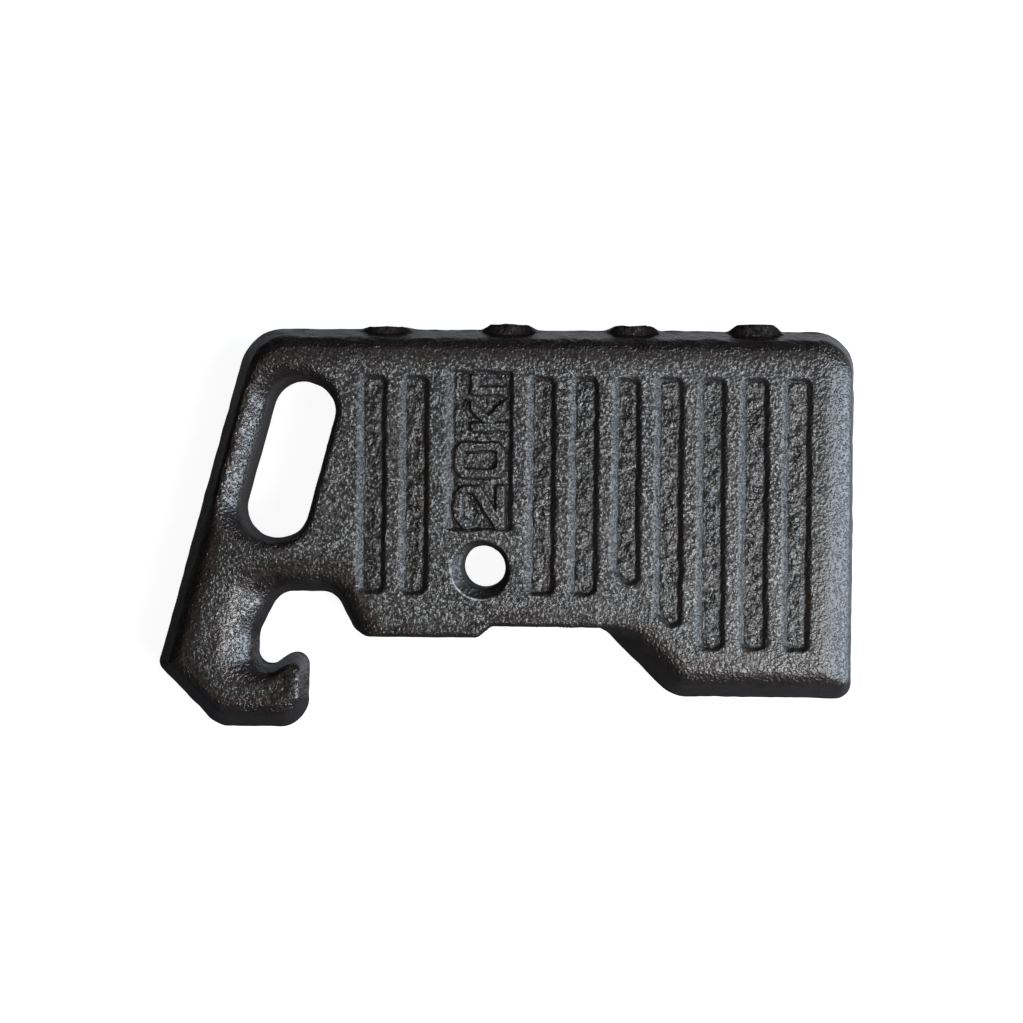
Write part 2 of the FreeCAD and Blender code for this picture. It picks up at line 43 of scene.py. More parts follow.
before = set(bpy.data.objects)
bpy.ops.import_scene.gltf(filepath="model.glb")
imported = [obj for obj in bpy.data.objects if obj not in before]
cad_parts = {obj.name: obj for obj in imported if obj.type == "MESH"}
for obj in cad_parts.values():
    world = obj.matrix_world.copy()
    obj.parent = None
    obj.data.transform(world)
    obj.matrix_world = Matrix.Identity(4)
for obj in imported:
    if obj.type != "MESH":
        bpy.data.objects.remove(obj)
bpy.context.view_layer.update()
low, high = (np.array(corner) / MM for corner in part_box(NODE))
print("casting, mm:", low.round(2), high.round(2))

# %% [markdown]
# ## The outline at the parting plane
#
# The outline of the casting is straight sides with round corners. It could be a curve with its
# points moved by hand, but then no side would be quite straight. So it is a list of sides. Each
# side is a line through a point, with the direction it faces, and the corner after it has a
# radius. A hollow corner is one that the iron goes round on the outside, as in the throat of the
# hook. Going round clockwise, as seen from the ribbed face, keeps every later step on the same
# side. All lengths here are millimetres.

# %% Sides and corners
HALF = high[1]
GATE_RISE = 3.0
TOP = high[2] - GATE_RISE
PLAIN_END = high[0]
HOOK_FOOT = low[2]
HEEL_FOOT = -74.0
STEP_FOOT = -33.5
REST_FOOT = -40.0
THROAT_ROOF = -15.2
LIP_SLOPE = 34.0
POCKET_WALL = -130.6
POCKET_RADIUS = 7.3
POCKET_FLOOR = -57.6
BACK_CORNER = (-189.5, -59.0)
GRIP_SLANT = 14.8


def lip_start():
    """The point where the round floor of the pocket turns into the lip."""
    slope = math.radians(LIP_SLOPE)
    across = POCKET_WALL + POCKET_RADIUS * (1 + math.sin(slope))
    return across, POCKET_FLOOR + POCKET_RADIUS * (1 - math.cos(slope))


# Each side: kind, point (x, z), direction it faces, radius of the corner after it, hollow or not
OUTLINE = [
    ("rim", (0.0, TOP), 90.0, 23.0, False),
    ("end", (PLAIN_END, 0.0), 0.0, 9.0, False),
    ("flank", (0.0, HEEL_FOOT), -90.0, 20.0, False),
    ("flank", (68.0, STEP_FOOT), -135.0, 20.0, True),
    ("seat", (0.0, STEP_FOOT), -90.0, 5.0, True),
    ("seat", (-3.0, REST_FOOT), -50.0, 5.0, False),
    ("seat", (0.0, REST_FOOT), -90.0, 10.0, False),
    ("throat", (-73.5, REST_FOOT), 207.0, 13.0, True),
    ("throat", (0.0, THROAT_ROOF), -90.0, 13.0, True),
    ("shank", (-118.6, THROAT_ROOF), -27.0, 15.0, True),
    ("shank", (POCKET_WALL, 0.0), 0.0, POCKET_RADIUS, True),
    ("lip", lip_start(), 90.0 + LIP_SLOPE, 7.2, False),
    ("nose", (-101.5, 0.0), 0.0, 17.0, False),
    ("flank", (0.0, HOOK_FOOT), -90.0, 17.0, False),
    ("flank", BACK_CORNER, -135.0, 7.0, False),
    ("flank", BACK_CORNER, 180.0 - GRIP_SLANT, 27.0, False),
]
print("outline sides:", len(OUTLINE))

# %% Hand slot
SLOT_CENTRE = np.array([-113.0, 60.9])
SLOT_HALF_LENGTH = 46.3
SLOT_HALF_WIDTH = 18.2
SLOT_CORNER = 17.6


def slot_side(kind, way, half):
    """A side of the hand slot, half a length or width from its centre."""
    turn = math.radians(way)
    point = SLOT_CENTRE + half * np.array([math.cos(turn), math.sin(turn)])
    return (kind, tuple(point), way, SLOT_CORNER, True)


SLOT = [
    slot_side("slot", 90.0 - GRIP_SLANT, SLOT_HALF_LENGTH),
    slot_side("slot", -GRIP_SLANT, SLOT_HALF_WIDTH),
    slot_side("slot", -90.0 - GRIP_SLANT, SLOT_HALF_LENGTH),
    slot_side("grip", 180.0 - GRIP_SLANT, SLOT_HALF_WIDTH),
]
print("slot sides:", len(SLOT))

# %% [markdown]
# ## The section of the wall
#
# Sand moulds need draft: every wall leans in from the parting plane, and then turns into the face
# in an arc. A Bevel modifier would give all the sides one round. Here one formula makes the
# section of every kind of side from three numbers. Where the arc starts at more lean than the
# draft, a crease stays below it and the round is wide and shallow, as on the grip, the shank and
# the plain end, which catch a broad band of light. The section is two lists of numbers, how far
# the wall has drawn in and how deep it is there, measured from the parting plane. The straight
# part has more rows where the gate stubs end, about 8 mm from the parting plane.

# %% Section rows
# Each kind of side: draft in degrees, radius of the edge round, lean at which that round starts
KINDS = {
    "rim": (22.0, 12.0, 22.0),
    "end": (14.0, 24.0, 39.0),
    "flank": (27.0, 13.0, 27.0),
    "throat": (14.0, 13.0, 14.0),
    "shank": (14.0, 24.0, 36.0),
    "lip": (12.0, 3.0, 12.0),
    "nose": (8.0, 8.0, 50.0),
    "seat": (0.0, 4.0, 0.0),
    "grip": (8.0, 42.0, 43.0),
    "slot": (7.0, 5.5, 7.0),
}
WALL_ROWS = np.array([0.0, 0.035, 0.12, 0.25, 0.37, 0.43, 0.465, 0.495, 0.525, 0.57, 0.68, 0.84,
                      1.0])
ARC_ROWS = np.linspace(0.0, 1.0, 9)[1:]
BACK_WALL_ROWS = np.array([0.0, 0.035, 0.2, 0.4, 0.5, 0.53, 0.75, 1.0])
BACK_ARC_ROWS = np.linspace(0.0, 1.0, 5)[1:]


def section(kind, walls, turns):
    """Inset and depth along a wall: shares of its straight part, then shares of its arc's turn."""
    draft, edge, lean = KINDS[kind]
    draft, lean = math.radians(draft), math.radians(lean)
    wall = HALF - edge * (1 - math.sin(lean))
    angle = lean + turns * (math.pi / 2 - lean)
    inset = np.concatenate([walls * wall * math.tan(draft),
                            wall * math.tan(draft) + edge * (math.cos(lean) - np.cos(angle))])
    depth = np.concatenate([walls * wall, HALF - edge * (1 - np.sin(angle))])
    return inset, depth


print("rim, inset at the face:", section("rim", WALL_ROWS, ARC_ROWS)[0][-1].round(2))

# %% [markdown]
# ## Rings
#
# A ring is the outline drawn again at one row of the section. Blender could offset a curve, but
# its corners would not follow the pattern maker's rule: hollow corners open towards the face and
# the others tighten. So the rings are worked out: every side moves in by its own inset, neighbours
# are crossed, and an arc of the right radius is fitted between them. All rings come out of one
# call as an array of rows by points.

# %% Corners of the rings
HOLLOW_GROWTH = 0.8
CORNER_SHRINK = 0.6
LEAST_CORNER = 1.0


def frame_of(loop):
    """The sides of a loop as arrays: way, unit outward and heading, reach, corner, hollow."""
    ways = np.radians([side[2] for side in loop])
    out = np.stack([np.cos(ways), np.sin(ways)], -1)
    along = np.stack([np.sin(ways), -np.cos(ways)], -1)
    reach = (np.array([side[1] for side in loop]) * out).sum(-1)
    corners = np.array([side[3] for side in loop])
    hollow = np.array([side[4] for side in loop])
    return ways, out, along, reach, corners, hollow


def corner_arcs(loop, insets, inward=1.0, growth=HOLLOW_GROWTH, shrink=CORNER_SHRINK,
                least=LEAST_CORNER):
    """Start, end, centre, radius and turn of each corner's arc, for every row of insets."""
    ways, out, along, reach, corners, hollow = frame_of(loop)
    following = np.roll(np.arange(len(loop)), -1)
    reach = reach - inward * insets
    after, beyond = reach[:, following], out[following]
    cross = out[:, 0] * beyond[:, 1] - out[:, 1] * beyond[:, 0]
    corner = np.stack([(reach * beyond[:, 1] - after * out[:, 1]) / cross,
                       (after * out[:, 0] - reach * beyond[:, 0]) / cross], -1)
    mean = (insets + insets[:, following]) / 2
    radius = np.where(hollow, corners + growth * mean, np.maximum(corners - shrink * mean, least))
    turn = (ways[following] - ways + math.pi) % (2 * math.pi) - math.pi
    cut = (radius * abs(np.tan(turn / 2)))[..., None]
    start, end = corner - along * cut, corner + along[following] * cut
    centre = start + out * (radius * np.sign(turn))[..., None]
    return start, end, centre, radius, turn


corner_turns = corner_arcs(OUTLINE, np.zeros((1, len(OUTLINE))))[4]
print("sharpest corner, degrees:", np.degrees(abs(corner_turns)).max().round(1))

# %% Rings of a loop
RING_SPACING = 1.6
ARC_SPACING = 1.2
ARC_STEP = math.radians(9.0)
COARSE = 60.0


def smooth(share):
    """Eases a share from 0 to 1, so that it starts and ends level."""
    return share * share * (3 - 2 * share)


def eased(value, start, end):
    """A smooth step from 0 at the start to 1 at the end."""
    return smooth(np.clip((value - start) / (end - start), 0, 1))


def rings(loop, insets, depths, spacing=RING_SPACING, **rule):
    """Every ring of a loop as points (rows, count, 2), with the depth of each point."""
    start, end, centre, radius, turn = corner_arcs(loop, insets, **rule)
    ways = frame_of(loop)[0]
    points, deep = [], []
    for side in range(len(loop)):
        following = (side + 1) % len(loop)
        begin, finish = end[:, side - 1], start[:, side]
        count = max(1, round(np.linalg.norm(finish[0] - begin[0]) / spacing))
        share = np.arange(count)[None, :, None] / count
        points.append(begin[:, None] + share * (finish - begin)[:, None])
        deep.append(np.repeat(depths[:, side, None], count, 1))
        length = radius[:, side].max() * abs(turn[side])
        by_length = math.ceil(length / spacing / ARC_SPACING)
        count = max(2, by_length, math.ceil(abs(turn[side]) / ARC_STEP))
        share = np.arange(count) / count
        angle = ways[side] + turn[side] * share
        spoke = np.stack([np.cos(angle), np.sin(angle)], -1)
        swing = (np.sign(turn[side]) * radius[:, side])[:, None, None]
        points.append(centre[:, side, None] - swing * spoke)
        ease = smooth(share)
        deep.append(depths[:, side, None] * (1 - ease) + depths[:, following, None] * ease)
    return np.concatenate(points, 1), np.concatenate(deep, 1)


def wall_rings(loop, walls, turns, inward):
    """The rings of a loop up its drafted wall and round its arc, as rows of (x, depth, z)."""
    profiles = [section(side[0], walls, turns) for side in loop]
    insets = np.stack([inset for inset, _ in profiles], 1)
    depths = np.stack([depth for _, depth in profiles], 1)
    flat, deep = rings(loop, insets, depths, inward=inward)
    return np.stack([flat[..., 0], deep, flat[..., 1]], -1)


front_rings = wall_rings(OUTLINE, WALL_ROWS, ARC_ROWS, 1.0)
slot_rings = wall_rings(SLOT, WALL_ROWS, ARC_ROWS, -1.0)
back_rings = wall_rings(OUTLINE, BACK_WALL_ROWS, BACK_ARC_ROWS, 1.0)
slot_back_rings = wall_rings(SLOT, BACK_WALL_ROWS, BACK_ARC_ROWS, -1.0)
print("outline rings:", front_rings.shape, " slot rings:", slot_rings.shape)

# %% [markdown]
# ## The bore
#
# The tie rod goes through a bore that is straight in the middle and flared at each face. A cutting
# cylinder would leave a ragged edge in the skin, so the bore is a surface of revolution of its
# own, and its rings are circles. The rim of each flare has a small round, which catches the light.
# The flares are cast and the middle is drilled, so the flares sit a little out of line with it.

# %% Bore rings
BORE_POINTS = 112
BORE_RADIUS = 12.5
# Half the length of the straight middle
WAIST = 18.0
FLARE_RADIUS = 16.0
FLARE_SHIFT = (-1.5, -1.3)
RIM_ROUND = 1.4
# The two rows of the rim's round: below the face and out from the flare, in shares of the round
RIM_BELOW = np.array([0.3, 0.0])
RIM_OUT = np.array([0.35, 1.1])


def bore_rings(depths, radii):
    """Circles round the bore, clockwise, as rows of (x, depth, z). Wide ones are shifted more."""
    angle = -2 * math.pi * np.arange(BORE_POINTS) / BORE_POINTS
    shape = (len(depths), BORE_POINTS)
    off = np.clip((radii - BORE_RADIUS) / (FLARE_RADIUS - BORE_RADIUS), 0, 1)[:, None]
    return np.stack([radii[:, None] * np.cos(angle) + off * FLARE_SHIFT[0],
                     np.broadcast_to(depths[:, None], shape),
                     radii[:, None] * np.sin(angle) + off * FLARE_SHIFT[1]], -1)


flare_share = np.linspace(0.0, 1.0, 6)
flare_depth = WAIST + flare_share * (HALF - RIM_ROUND - WAIST)
flare_radius = BORE_RADIUS + flare_share * (FLARE_RADIUS - BORE_RADIUS)
waist_depth = [0.0, WAIST / 3, 2 * WAIST / 3]
bore_depth = np.concatenate([waist_depth, flare_depth, HALF - RIM_BELOW * RIM_ROUND])
bore_radius = np.concatenate([[BORE_RADIUS] * 3, flare_radius, FLARE_RADIUS + RIM_OUT * RIM_ROUND])
bore = bore_rings(bore_depth, bore_radius)


def beyond_rim(points):
    """How far points (x, z) of a face lie outside the rim of the flare."""
    from_flare = points - FLARE_SHIFT
    return np.hypot(from_flare[:, 0], from_flare[:, 1]) - bore_radius[-1]


print("bore rings:", bore.shape, " rim radius:", bore_radius[-1])

# %% [markdown]
# ## Where the grip's two rounds meet
#
# The grip is narrower than its two rounded walls, so they meet in a crest before they reach the
# face. A Boolean would leave a knife edge there. At a point of one wall, the other wall's depth
# has to be known. It is found by trying the other loop's rings from the parting plane up, all
# points at once, and seeing between which two rings each point lies. How far each wall lies below
# the face there is then joined like the sides of a right triangle, which rounds the crest.

# %% Depth on a convex loop
LEVELS = 64
TINY = 1e-9


def convex_depth(points, sides, inward, closed):
    """Depth of a convex loop's wall at points (x, z), up to the face beyond its round."""
    turns = np.linspace(0.0, 1.0, LEVELS // 2 + 1)[1:]
    profiles = [section(side[0], np.linspace(0.0, 1.0, LEVELS // 2), turns) for side in sides]
    levels = np.linspace(0.0, HALF, LEVELS)
    insets = np.stack([np.interp(levels, depth, inset) for inset, depth in profiles], 1)
    _, _, centre, radius, turn = corner_arcs(sides, insets, inward=inward)
    _, out, _, reach, _, _ = frame_of(sides)
    outside = ((points @ out.T)[:, None, :] - (reach - inward * insets)[None]).max(-1)
    for side in range(len(sides) if closed else 1):
        here, ahead, way = out[side], out[(side + 1) % len(sides)], np.sign(turn[side])
        spoke = points[:, None, :] - centre[None, :, side]
        past = (here[0] * spoke[..., 1] - here[1] * spoke[..., 0]) * way > 0
        short = (spoke[..., 0] * ahead[1] - spoke[..., 1] * ahead[0]) * way > 0
        from_arc = np.linalg.norm(spoke, axis=-1) - radius[None, :, side]
        outside = np.where(past & short, from_arc, outside)
    outside *= inward
    covered = (outside < 0).sum(1)
    upper, lower = np.clip(covered, 1, LEVELS - 1), np.clip(covered - 1, 0, LEVELS - 2)
    rows = np.arange(len(points))
    before, after = outside[rows, lower], outside[rows, upper]
    share = np.clip(-before / np.maximum(after - before, TINY), 0, 1)
    depth = levels[lower] + share * (levels[upper] - levels[lower])
    return np.where(covered == LEVELS, HALF, depth)


slot_middle = convex_depth(SLOT_CENTRE[None], SLOT, -1.0, True)
print("depth in the middle of the slot:", slot_middle.round(2))

# %% Crest of the grip
GRIP_LIMIT = -75.0
BACK_AND_TOP = [OUTLINE[-1], OUTLINE[0]]


def crest_points(own, other_depth):
    """Keeps a wall's points on its own side of the crest and lowers them to the rounded crest."""
    gap, other_gap = HALF - own[:, 1], HALF - other_depth
    kept = gap >= other_gap
    lowered = own[kept].copy()
    lowered[:, 1] = HALF - np.hypot(gap[kept], other_gap[kept])
    return lowered


def arc_points(ring_rows, walls, other_sides, other_inward, closed):
    """The rows between a wall's arc start and the face edge, cut off at the grip's crest."""
    points = ring_rows[len(walls):].reshape(-1, 3)
    near = points[:, 0] < GRIP_LIMIT
    other = np.full(len(points), HALF)
    other[near] = convex_depth(points[near][:, [0, 2]], other_sides, other_inward, closed)
    return crest_points(points, other)


front_arcs = arc_points(front_rings, WALL_ROWS, SLOT, -1.0, True)
slot_arcs = arc_points(slot_rings, WALL_ROWS, BACK_AND_TOP, 1.0, False)
back_arcs = arc_points(back_rings, BACK_WALL_ROWS, SLOT, -1.0, True)
slot_back_arcs = arc_points(slot_back_rings, BACK_WALL_ROWS, BACK_AND_TOP, 1.0, False)
print("arc points:", len(front_arcs), len(slot_arcs), len(back_arcs), len(slot_back_arcs))

# %% [markdown]
# ## Grooves and panel
#
# The ribbed face has nine grooves and a panel, which are recesses with drafted walls. A displaced
# grid would need very many points to keep their edges. A recess is a ring again: rows of points
# follow its edge at a few distances, each row at its own depth, close together on the wall and
# nowhere else. So the walls stay crisp with few points.

# %% Sizes of the recesses
GROOVE_PITCH = 24.0
GROOVE_WIDTH = 15.8
GROOVE_DEPTH = 3.2
GROOVE_LAST = 184.4
GROOVE_TOP = 108.7
GROOVE_CORNER = 5.0
GROOVE_CUT = 8.0
LONG_FOOT = -45.4
SHORT_FOOT = -15.4
# Lower end of each groove, by its place from the plain end
GROOVE_FEET = {0: LONG_FOOT, 1: LONG_FOOT, 2: LONG_FOOT, 3: -32.6, 4: -9.0,
               5: SHORT_FOOT, 6: SHORT_FOOT, 9: SHORT_FOOT, 10: SHORT_FOOT}
SLANTED = (3, 4)
PANEL_EDGES = (-21.4, 16.0, 21.0, 111.8)
PANEL_CORNER = 3.0
PANEL_DEPTH = 2.9


def box_loop(left, right, foot, top, corner, kinds):
    """The sides of an upright box, clockwise from its top."""
    return [(kinds[0], (0.0, top), 90.0, corner, False),
            (kinds[1], (right, 0.0), 0.0, corner, False),
            (kinds[2], (0.0, foot), -90.0, corner, False),
            (kinds[3], (left, 0.0), 180.0, corner, False)]


def groove_loop(place):
    """A groove counted from the plain end. Beside the heel its lower corner is cut off."""
    right = GROOVE_LAST - place * GROOVE_PITCH
    left, foot = right - GROOVE_WIDTH, GROOVE_FEET[place]
    kinds = ("end", "plain", "end", "hook")
    loop = box_loop(left, right, foot, GROOVE_TOP, GROOVE_CORNER, kinds)
    if place in SLANTED:
        loop.insert(3, ("end", (left + GROOVE_CUT, foot), -135.0, GROOVE_CORNER, False))
    return loop


groove_loops = [groove_loop(place) for place in GROOVE_FEET]
panel_kinds = ("panel", "panel_plain", "panel", "panel_hook")
panel_loop = box_loop(*PANEL_EDGES, PANEL_CORNER, panel_kinds)
print("grooves:", len(groove_loops))

# %% Rows along the recesses
RECESS_SPACING = 1.2
RECESS_LEAST_CORNER = 0.3
# Distance in from the edge of each row, and the rows between which the wall goes down
EDGE_ROWS = np.array([-1.0, -0.5, 0.0, 0.5, 1.0, 1.5, 2.1, 2.9])
WALL_START, WALL_END = -0.6, 2.3
# How many times further the wall leans back on each side of a recess
LEAN = {"hook": 1.9, "plain": 1.7, "end": 1.0,
        "panel": 0.9, "panel_hook": 2.6, "panel_plain": 1.3}


def wall_share(distance):
    """Smooth share of a recess's depth at a distance in from its edge."""
    return eased(distance, WALL_START, WALL_END)


def edge_rings(loop, rows, spacing):
    """Parallel rings of a loop at distances in from its edge, more on a gentle side."""
    lean = np.array([LEAN[side[0]] for side in loop])
    insets = rows[:, None] * lean
    rule = {"growth": 1.0, "shrink": 1.0, "least": RECESS_LEAST_CORNER}
    return rings(loop, insets, np.zeros_like(insets), spacing, **rule)[0]


def recess_edge(loop):
    """The edge of a recess as a coarse ring, to test points against."""
    return edge_rings(loop, np.array([0.0]), COARSE)[0]


def inside(points, ring):
    """Whether each point lies inside a closed ring, by counting the edges to its right."""
    start, end = ring, np.roll(ring, -1, 0)
    x, z = points[:, None, 0], points[:, None, 1]
    spans = (start[None, :, 1] > z) != (end[None, :, 1] > z)
    rise = np.where(end[:, 1] == start[:, 1], 1.0, end[:, 1] - start[:, 1])
    crossing = start[None, :, 0] + (z - start[None, :, 1]) / rise * (end[:, 0] - start[:, 0])
    return (spans & (x < crossing)).sum(1) % 2 == 1


print("rows across a recess's wall:", len(EDGE_ROWS))

# %% [markdown]
# ## The figures of the mass mark
#
# The panel carries a plain mass mark, a number and its unit, in block strokes that stand up from
# the panel floor and read upwards. Blender's text would bring a font's fine curves, which sand
# does not hold. So each figure is a polygon of strokes. The height near a figure follows the
# distance to its edge, which is measured for all points at once against all edges.

# %% Figures
MARK_FOOT = 11.4
FIGURE_TALL = 28.4
UNIT_TALL = 19.4
STROKE = 4.3
TWO_START, TWO_WIDE = 22.9, 23.6
NOUGHT_START, NOUGHT_WIDE, NOUGHT_CORNER, COUNTER_CORNER = 51.2, 19.6, 9.0, 4.0
KAY_START, KAY_WIDE = 77.6, 17.0
GEE_START, GEE_WIDE = 98.2, 11.0


def figure(start, corners):
    """A figure on the panel, from (along, up) pairs measured from the start of its foot."""
    return np.array([(MARK_FOOT - up, start + along) for along, up in corners])


def two(wide, tall, stroke):
    """The corners of a square two with a slanting back and cut shoulders."""
    shoulder, bend = 1.2 * stroke, 0.5 * stroke
    return [(0, 0), (wide, 0), (wide, stroke), (1.9 * stroke, stroke), (wide, 0.5 * tall),
            (wide, tall - shoulder), (wide - shoulder, tall), (shoulder, tall),
            (0, tall - shoulder), (0, 0.72 * tall), (stroke, 0.72 * tall),
            (stroke, tall - stroke - bend), (stroke + bend, tall - stroke),
            (wide - stroke - bend, tall - stroke), (wide - stroke, tall - stroke - bend),
            (wide - stroke, 0.62 * tall), (0, 1.15 * stroke)]


def kay(wide, tall, stroke):
    """The corners of the unit's first letter."""
    return [(0, 0), (stroke, 0), (stroke, 0.38 * tall), (wide - 1.3 * stroke, 0), (wide, 0),
            (1.9 * stroke, 0.5 * tall), (wide, tall), (wide - 1.3 * stroke, tall),
            (stroke, 0.62 * tall), (stroke, tall), (0, tall)]


def gee(wide, tall, stroke):
    """The corners of the unit's second letter."""
    return [(0, 0), (stroke, 0), (stroke, tall - stroke), (wide, tall - stroke), (wide, tall),
            (0, tall)]


def cut_box(wide, tall, corner):
    """A box whose corners are cut at 0.45 of a radius, for the nought and its counter."""
    cut = 0.45 * corner
    return [(cut, 0), (wide - cut, 0), (wide, cut), (wide, tall - cut), (wide - cut, tall),
            (cut, tall), (0, tall - cut), (0, cut)]


FIGURES = [
    figure(TWO_START, two(TWO_WIDE, FIGURE_TALL, STROKE)),
    figure(NOUGHT_START, cut_box(NOUGHT_WIDE, FIGURE_TALL, NOUGHT_CORNER)),
    figure(KAY_START, kay(KAY_WIDE, UNIT_TALL, STROKE)),
    figure(GEE_START, gee(GEE_WIDE, UNIT_TALL, STROKE)),
]
counter_box = cut_box(NOUGHT_WIDE - 2 * STROKE, FIGURE_TALL - 2 * STROKE, COUNTER_CORNER)
COUNTER = figure(NOUGHT_START + STROKE, counter_box) - [STROKE, 0.0]
print("figures:", len(FIGURES))

# %% Rows along the figures
MARK_RAISE = 2.3
MARK_ROWS = np.array([-1.5, -1.05, -0.65, -0.25, 0.15, 0.6])
MARK_SPACING = 0.9
MARK_START, MARK_END = -1.3, 0.4
MARK_SLIP = 0.12


def edge_distance(points, corners):
    """Signed distance from a polygon's edge, positive inside."""
    start, span = corners, np.roll(corners, -1, 0) - corners
    offset = points[:, None] - start[None]
    share = np.clip((offset * span).sum(-1) / (span * span).sum(-1), 0, 1)
    nearest = np.linalg.norm(offset - share[..., None] * span[None], axis=-1).min(1)
    return np.where(inside(points, corners), nearest, -nearest)


def mark_distance(points):
    """Signed distance from the whole mark's edge: the figures, less the nought's counter."""
    solid = np.max([edge_distance(points, corners) for corners in FIGURES], axis=0)
    return np.minimum(solid, -edge_distance(points, COUNTER))


def polygon_rows(corners, rows, spacing):
    """Points along a polygon's sides in rows, and how far in from its edge each should lie."""
    span = np.roll(corners, -1, 0) - corners
    length = np.linalg.norm(span, axis=1)
    after = np.roll(corners, -1, 0)
    area = (corners[:, 0] * after[:, 1] - corners[:, 1] * after[:, 0]).sum()
    inward = np.stack([-span[:, 1], span[:, 0]], -1) / length[:, None] * np.sign(area)
    points, wanted = [], []
    for side, size in enumerate(length):
        count = max(2, round(size / spacing))
        share = (np.arange(count) + 0.5)[None, :, None] / count
        line = corners[side] + share * span[side]
        points.append((line + rows[:, None, None] * inward[side]).reshape(-1, 2))
        wanted.append(np.repeat(rows, count))
    return np.concatenate(points), np.concatenate(wanted)


def figure_points():
    """The rows of all the figures, without the points that lie nearer another edge."""
    kept = []
    for corners, sign in [(corners, 1.0) for corners in FIGURES] + [(COUNTER, -1.0)]:
        points, wanted = polygon_rows(corners, sign * MARK_ROWS, MARK_SPACING)
        kept.append(points[abs(mark_distance(points) - sign * wanted) < MARK_SLIP])
    return np.concatenate(kept)


figure_rows = figure_points()
print("points along the figures:", len(figure_rows))

# %% [markdown]
# ## Filling the faces
#
# The points of a face don't make a regular grid, so a constrained triangulation joins them. Between
# the rows a hexagonal grid fills the open metal. Each point brings its own depth, so the face is a
# height field.

# %% Grid points
GRID = 1.42
GRID_JITTER = 0.18
EDGE_MARGIN = 0.75
RECESS_CLEAR = 0.6
FIGURE_CLEAR = 0.5


def hexagonal(spacing, jitter, seed):
    """A hexagonal grid over the casting, each point moved a little so that no rows show."""
    across = np.arange(low[0], high[0], spacing)
    up = np.arange(low[2], high[2], spacing * math.sqrt(3) / 2)
    x, z = np.meshgrid(across, up)
    x = x + 0.5 * spacing * (np.arange(len(up)) % 2)[:, None]
    random = np.random.default_rng(seed)
    grid = np.stack([x, z], -1).reshape(-1, 2)
    return grid + random.uniform(-jitter, jitter, grid.shape) * spacing


def face_edge(loop, inward, margin):
    """The ring where a loop's wall reaches the face, moved on by a margin."""
    insets = np.array([[section(side[0], WALL_ROWS, ARC_ROWS)[0][-1] + margin for side in loop]])
    return rings(loop, insets, np.zeros_like(insets), COARSE, inward=inward)[0][0]


def on_flat(points, margin):
    """Whether points lie on the flat face, clear of the rims and the slot by a margin."""
    in_outline = inside(points, face_edge(OUTLINE, 1.0, margin))
    return in_outline & ~inside(points, face_edge(SLOT, -1.0, margin))


def open_face(points, margin):
    """Keeps the points that lie on the flat face and clear of the bore."""
    return points[on_flat(points, margin) & (beyond_rim(points) > margin)]


def near_edge(points, loop, rows, margin):
    """Whether points lie on or beside a recess's edge rows."""
    outer = edge_rings(loop, rows[:1] - margin, COARSE)[0]
    inner = edge_rings(loop, rows[-1:] + margin, COARSE)[0]
    return inside(points, outer) & ~inside(points, inner)


grid = open_face(hexagonal(GRID, GRID_JITTER, seed=4), EDGE_MARGIN)
for loop in groove_loops + [panel_loop]:
    grid = grid[~near_edge(grid, loop, EDGE_ROWS, RECESS_CLEAR)]
in_panel = inside(grid, recess_edge(panel_loop))
crowded = np.zeros(len(grid), bool)
from_mark = mark_distance(grid[in_panel])
crowded[in_panel] = ((from_mark > MARK_ROWS[0] - FIGURE_CLEAR)
                     & (from_mark < MARK_ROWS[-1] + FIGURE_CLEAR))
grid = grid[~crowded]
print("grid points:", len(grid))

# %% Depth of the ribbed face
PANEL_ROW_CLEAR = 0.3


def panel_recess(points):
    """Depth of the panel below the face: its walls and floor, less the figures on it."""
    left, right, foot, top = PANEL_EDGES
    x, z = points[:, 0], points[:, 1]
    from_edge = np.min([(x - left) / LEAN["panel_hook"], (right - x) / LEAN["panel_plain"],
                        (z - foot) / LEAN["panel"], (top - z) / LEAN["panel"]], axis=0)
    on_mark = eased(mark_distance(points), MARK_START, MARK_END)
    floor = (1 - on_mark) * PANEL_DEPTH * wall_share(from_edge)
    return floor + on_mark * (PANEL_DEPTH - MARK_RAISE)


def grid_recess(points):
    """Depth of the grid's points below the face: full in a groove, and the panel's in the panel."""
    recess = np.zeros(len(points))
    for loop in groove_loops:
        recess[inside(points, recess_edge(loop))] = GROOVE_DEPTH
    in_panel = inside(points, recess_edge(panel_loop))
    recess[in_panel] = panel_recess(points[in_panel])
    return recess


def ribbed_face():
    """All points of the ribbed face inside the rims, as (x, depth, z)."""
    points, recess = [], []
    for loop in groove_loops:
        ring = edge_rings(loop, EDGE_ROWS, RECESS_SPACING)
        points.append(ring.reshape(-1, 2))
        recess.append(np.repeat(GROOVE_DEPTH * wall_share(EDGE_ROWS), ring.shape[1]))
    panel_rows = edge_rings(panel_loop, EDGE_ROWS, RECESS_SPACING).reshape(-1, 2)
    clear_of_bore = beyond_rim(panel_rows) > EDGE_MARGIN
    clear_of_mark = mark_distance(panel_rows) < MARK_ROWS[0] - PANEL_ROW_CLEAR
    for rows in (panel_rows[clear_of_bore & clear_of_mark], figure_rows):
        points.append(rows)
        recess.append(panel_recess(rows))
    points.append(grid)
    recess.append(grid_recess(grid))
    flat, sunk = np.concatenate(points), np.concatenate(recess)
    return np.stack([flat[:, 0], HALF - sunk, flat[:, 1]], -1)


ribbed_points = ribbed_face()
print("points of the ribbed face:", len(ribbed_points))

# %% Both faces
BACK_GRID = 4.2
BACK_JITTER = 0.1
BACK_MARGIN = 2.0
SAME_PLACE = 1e-5


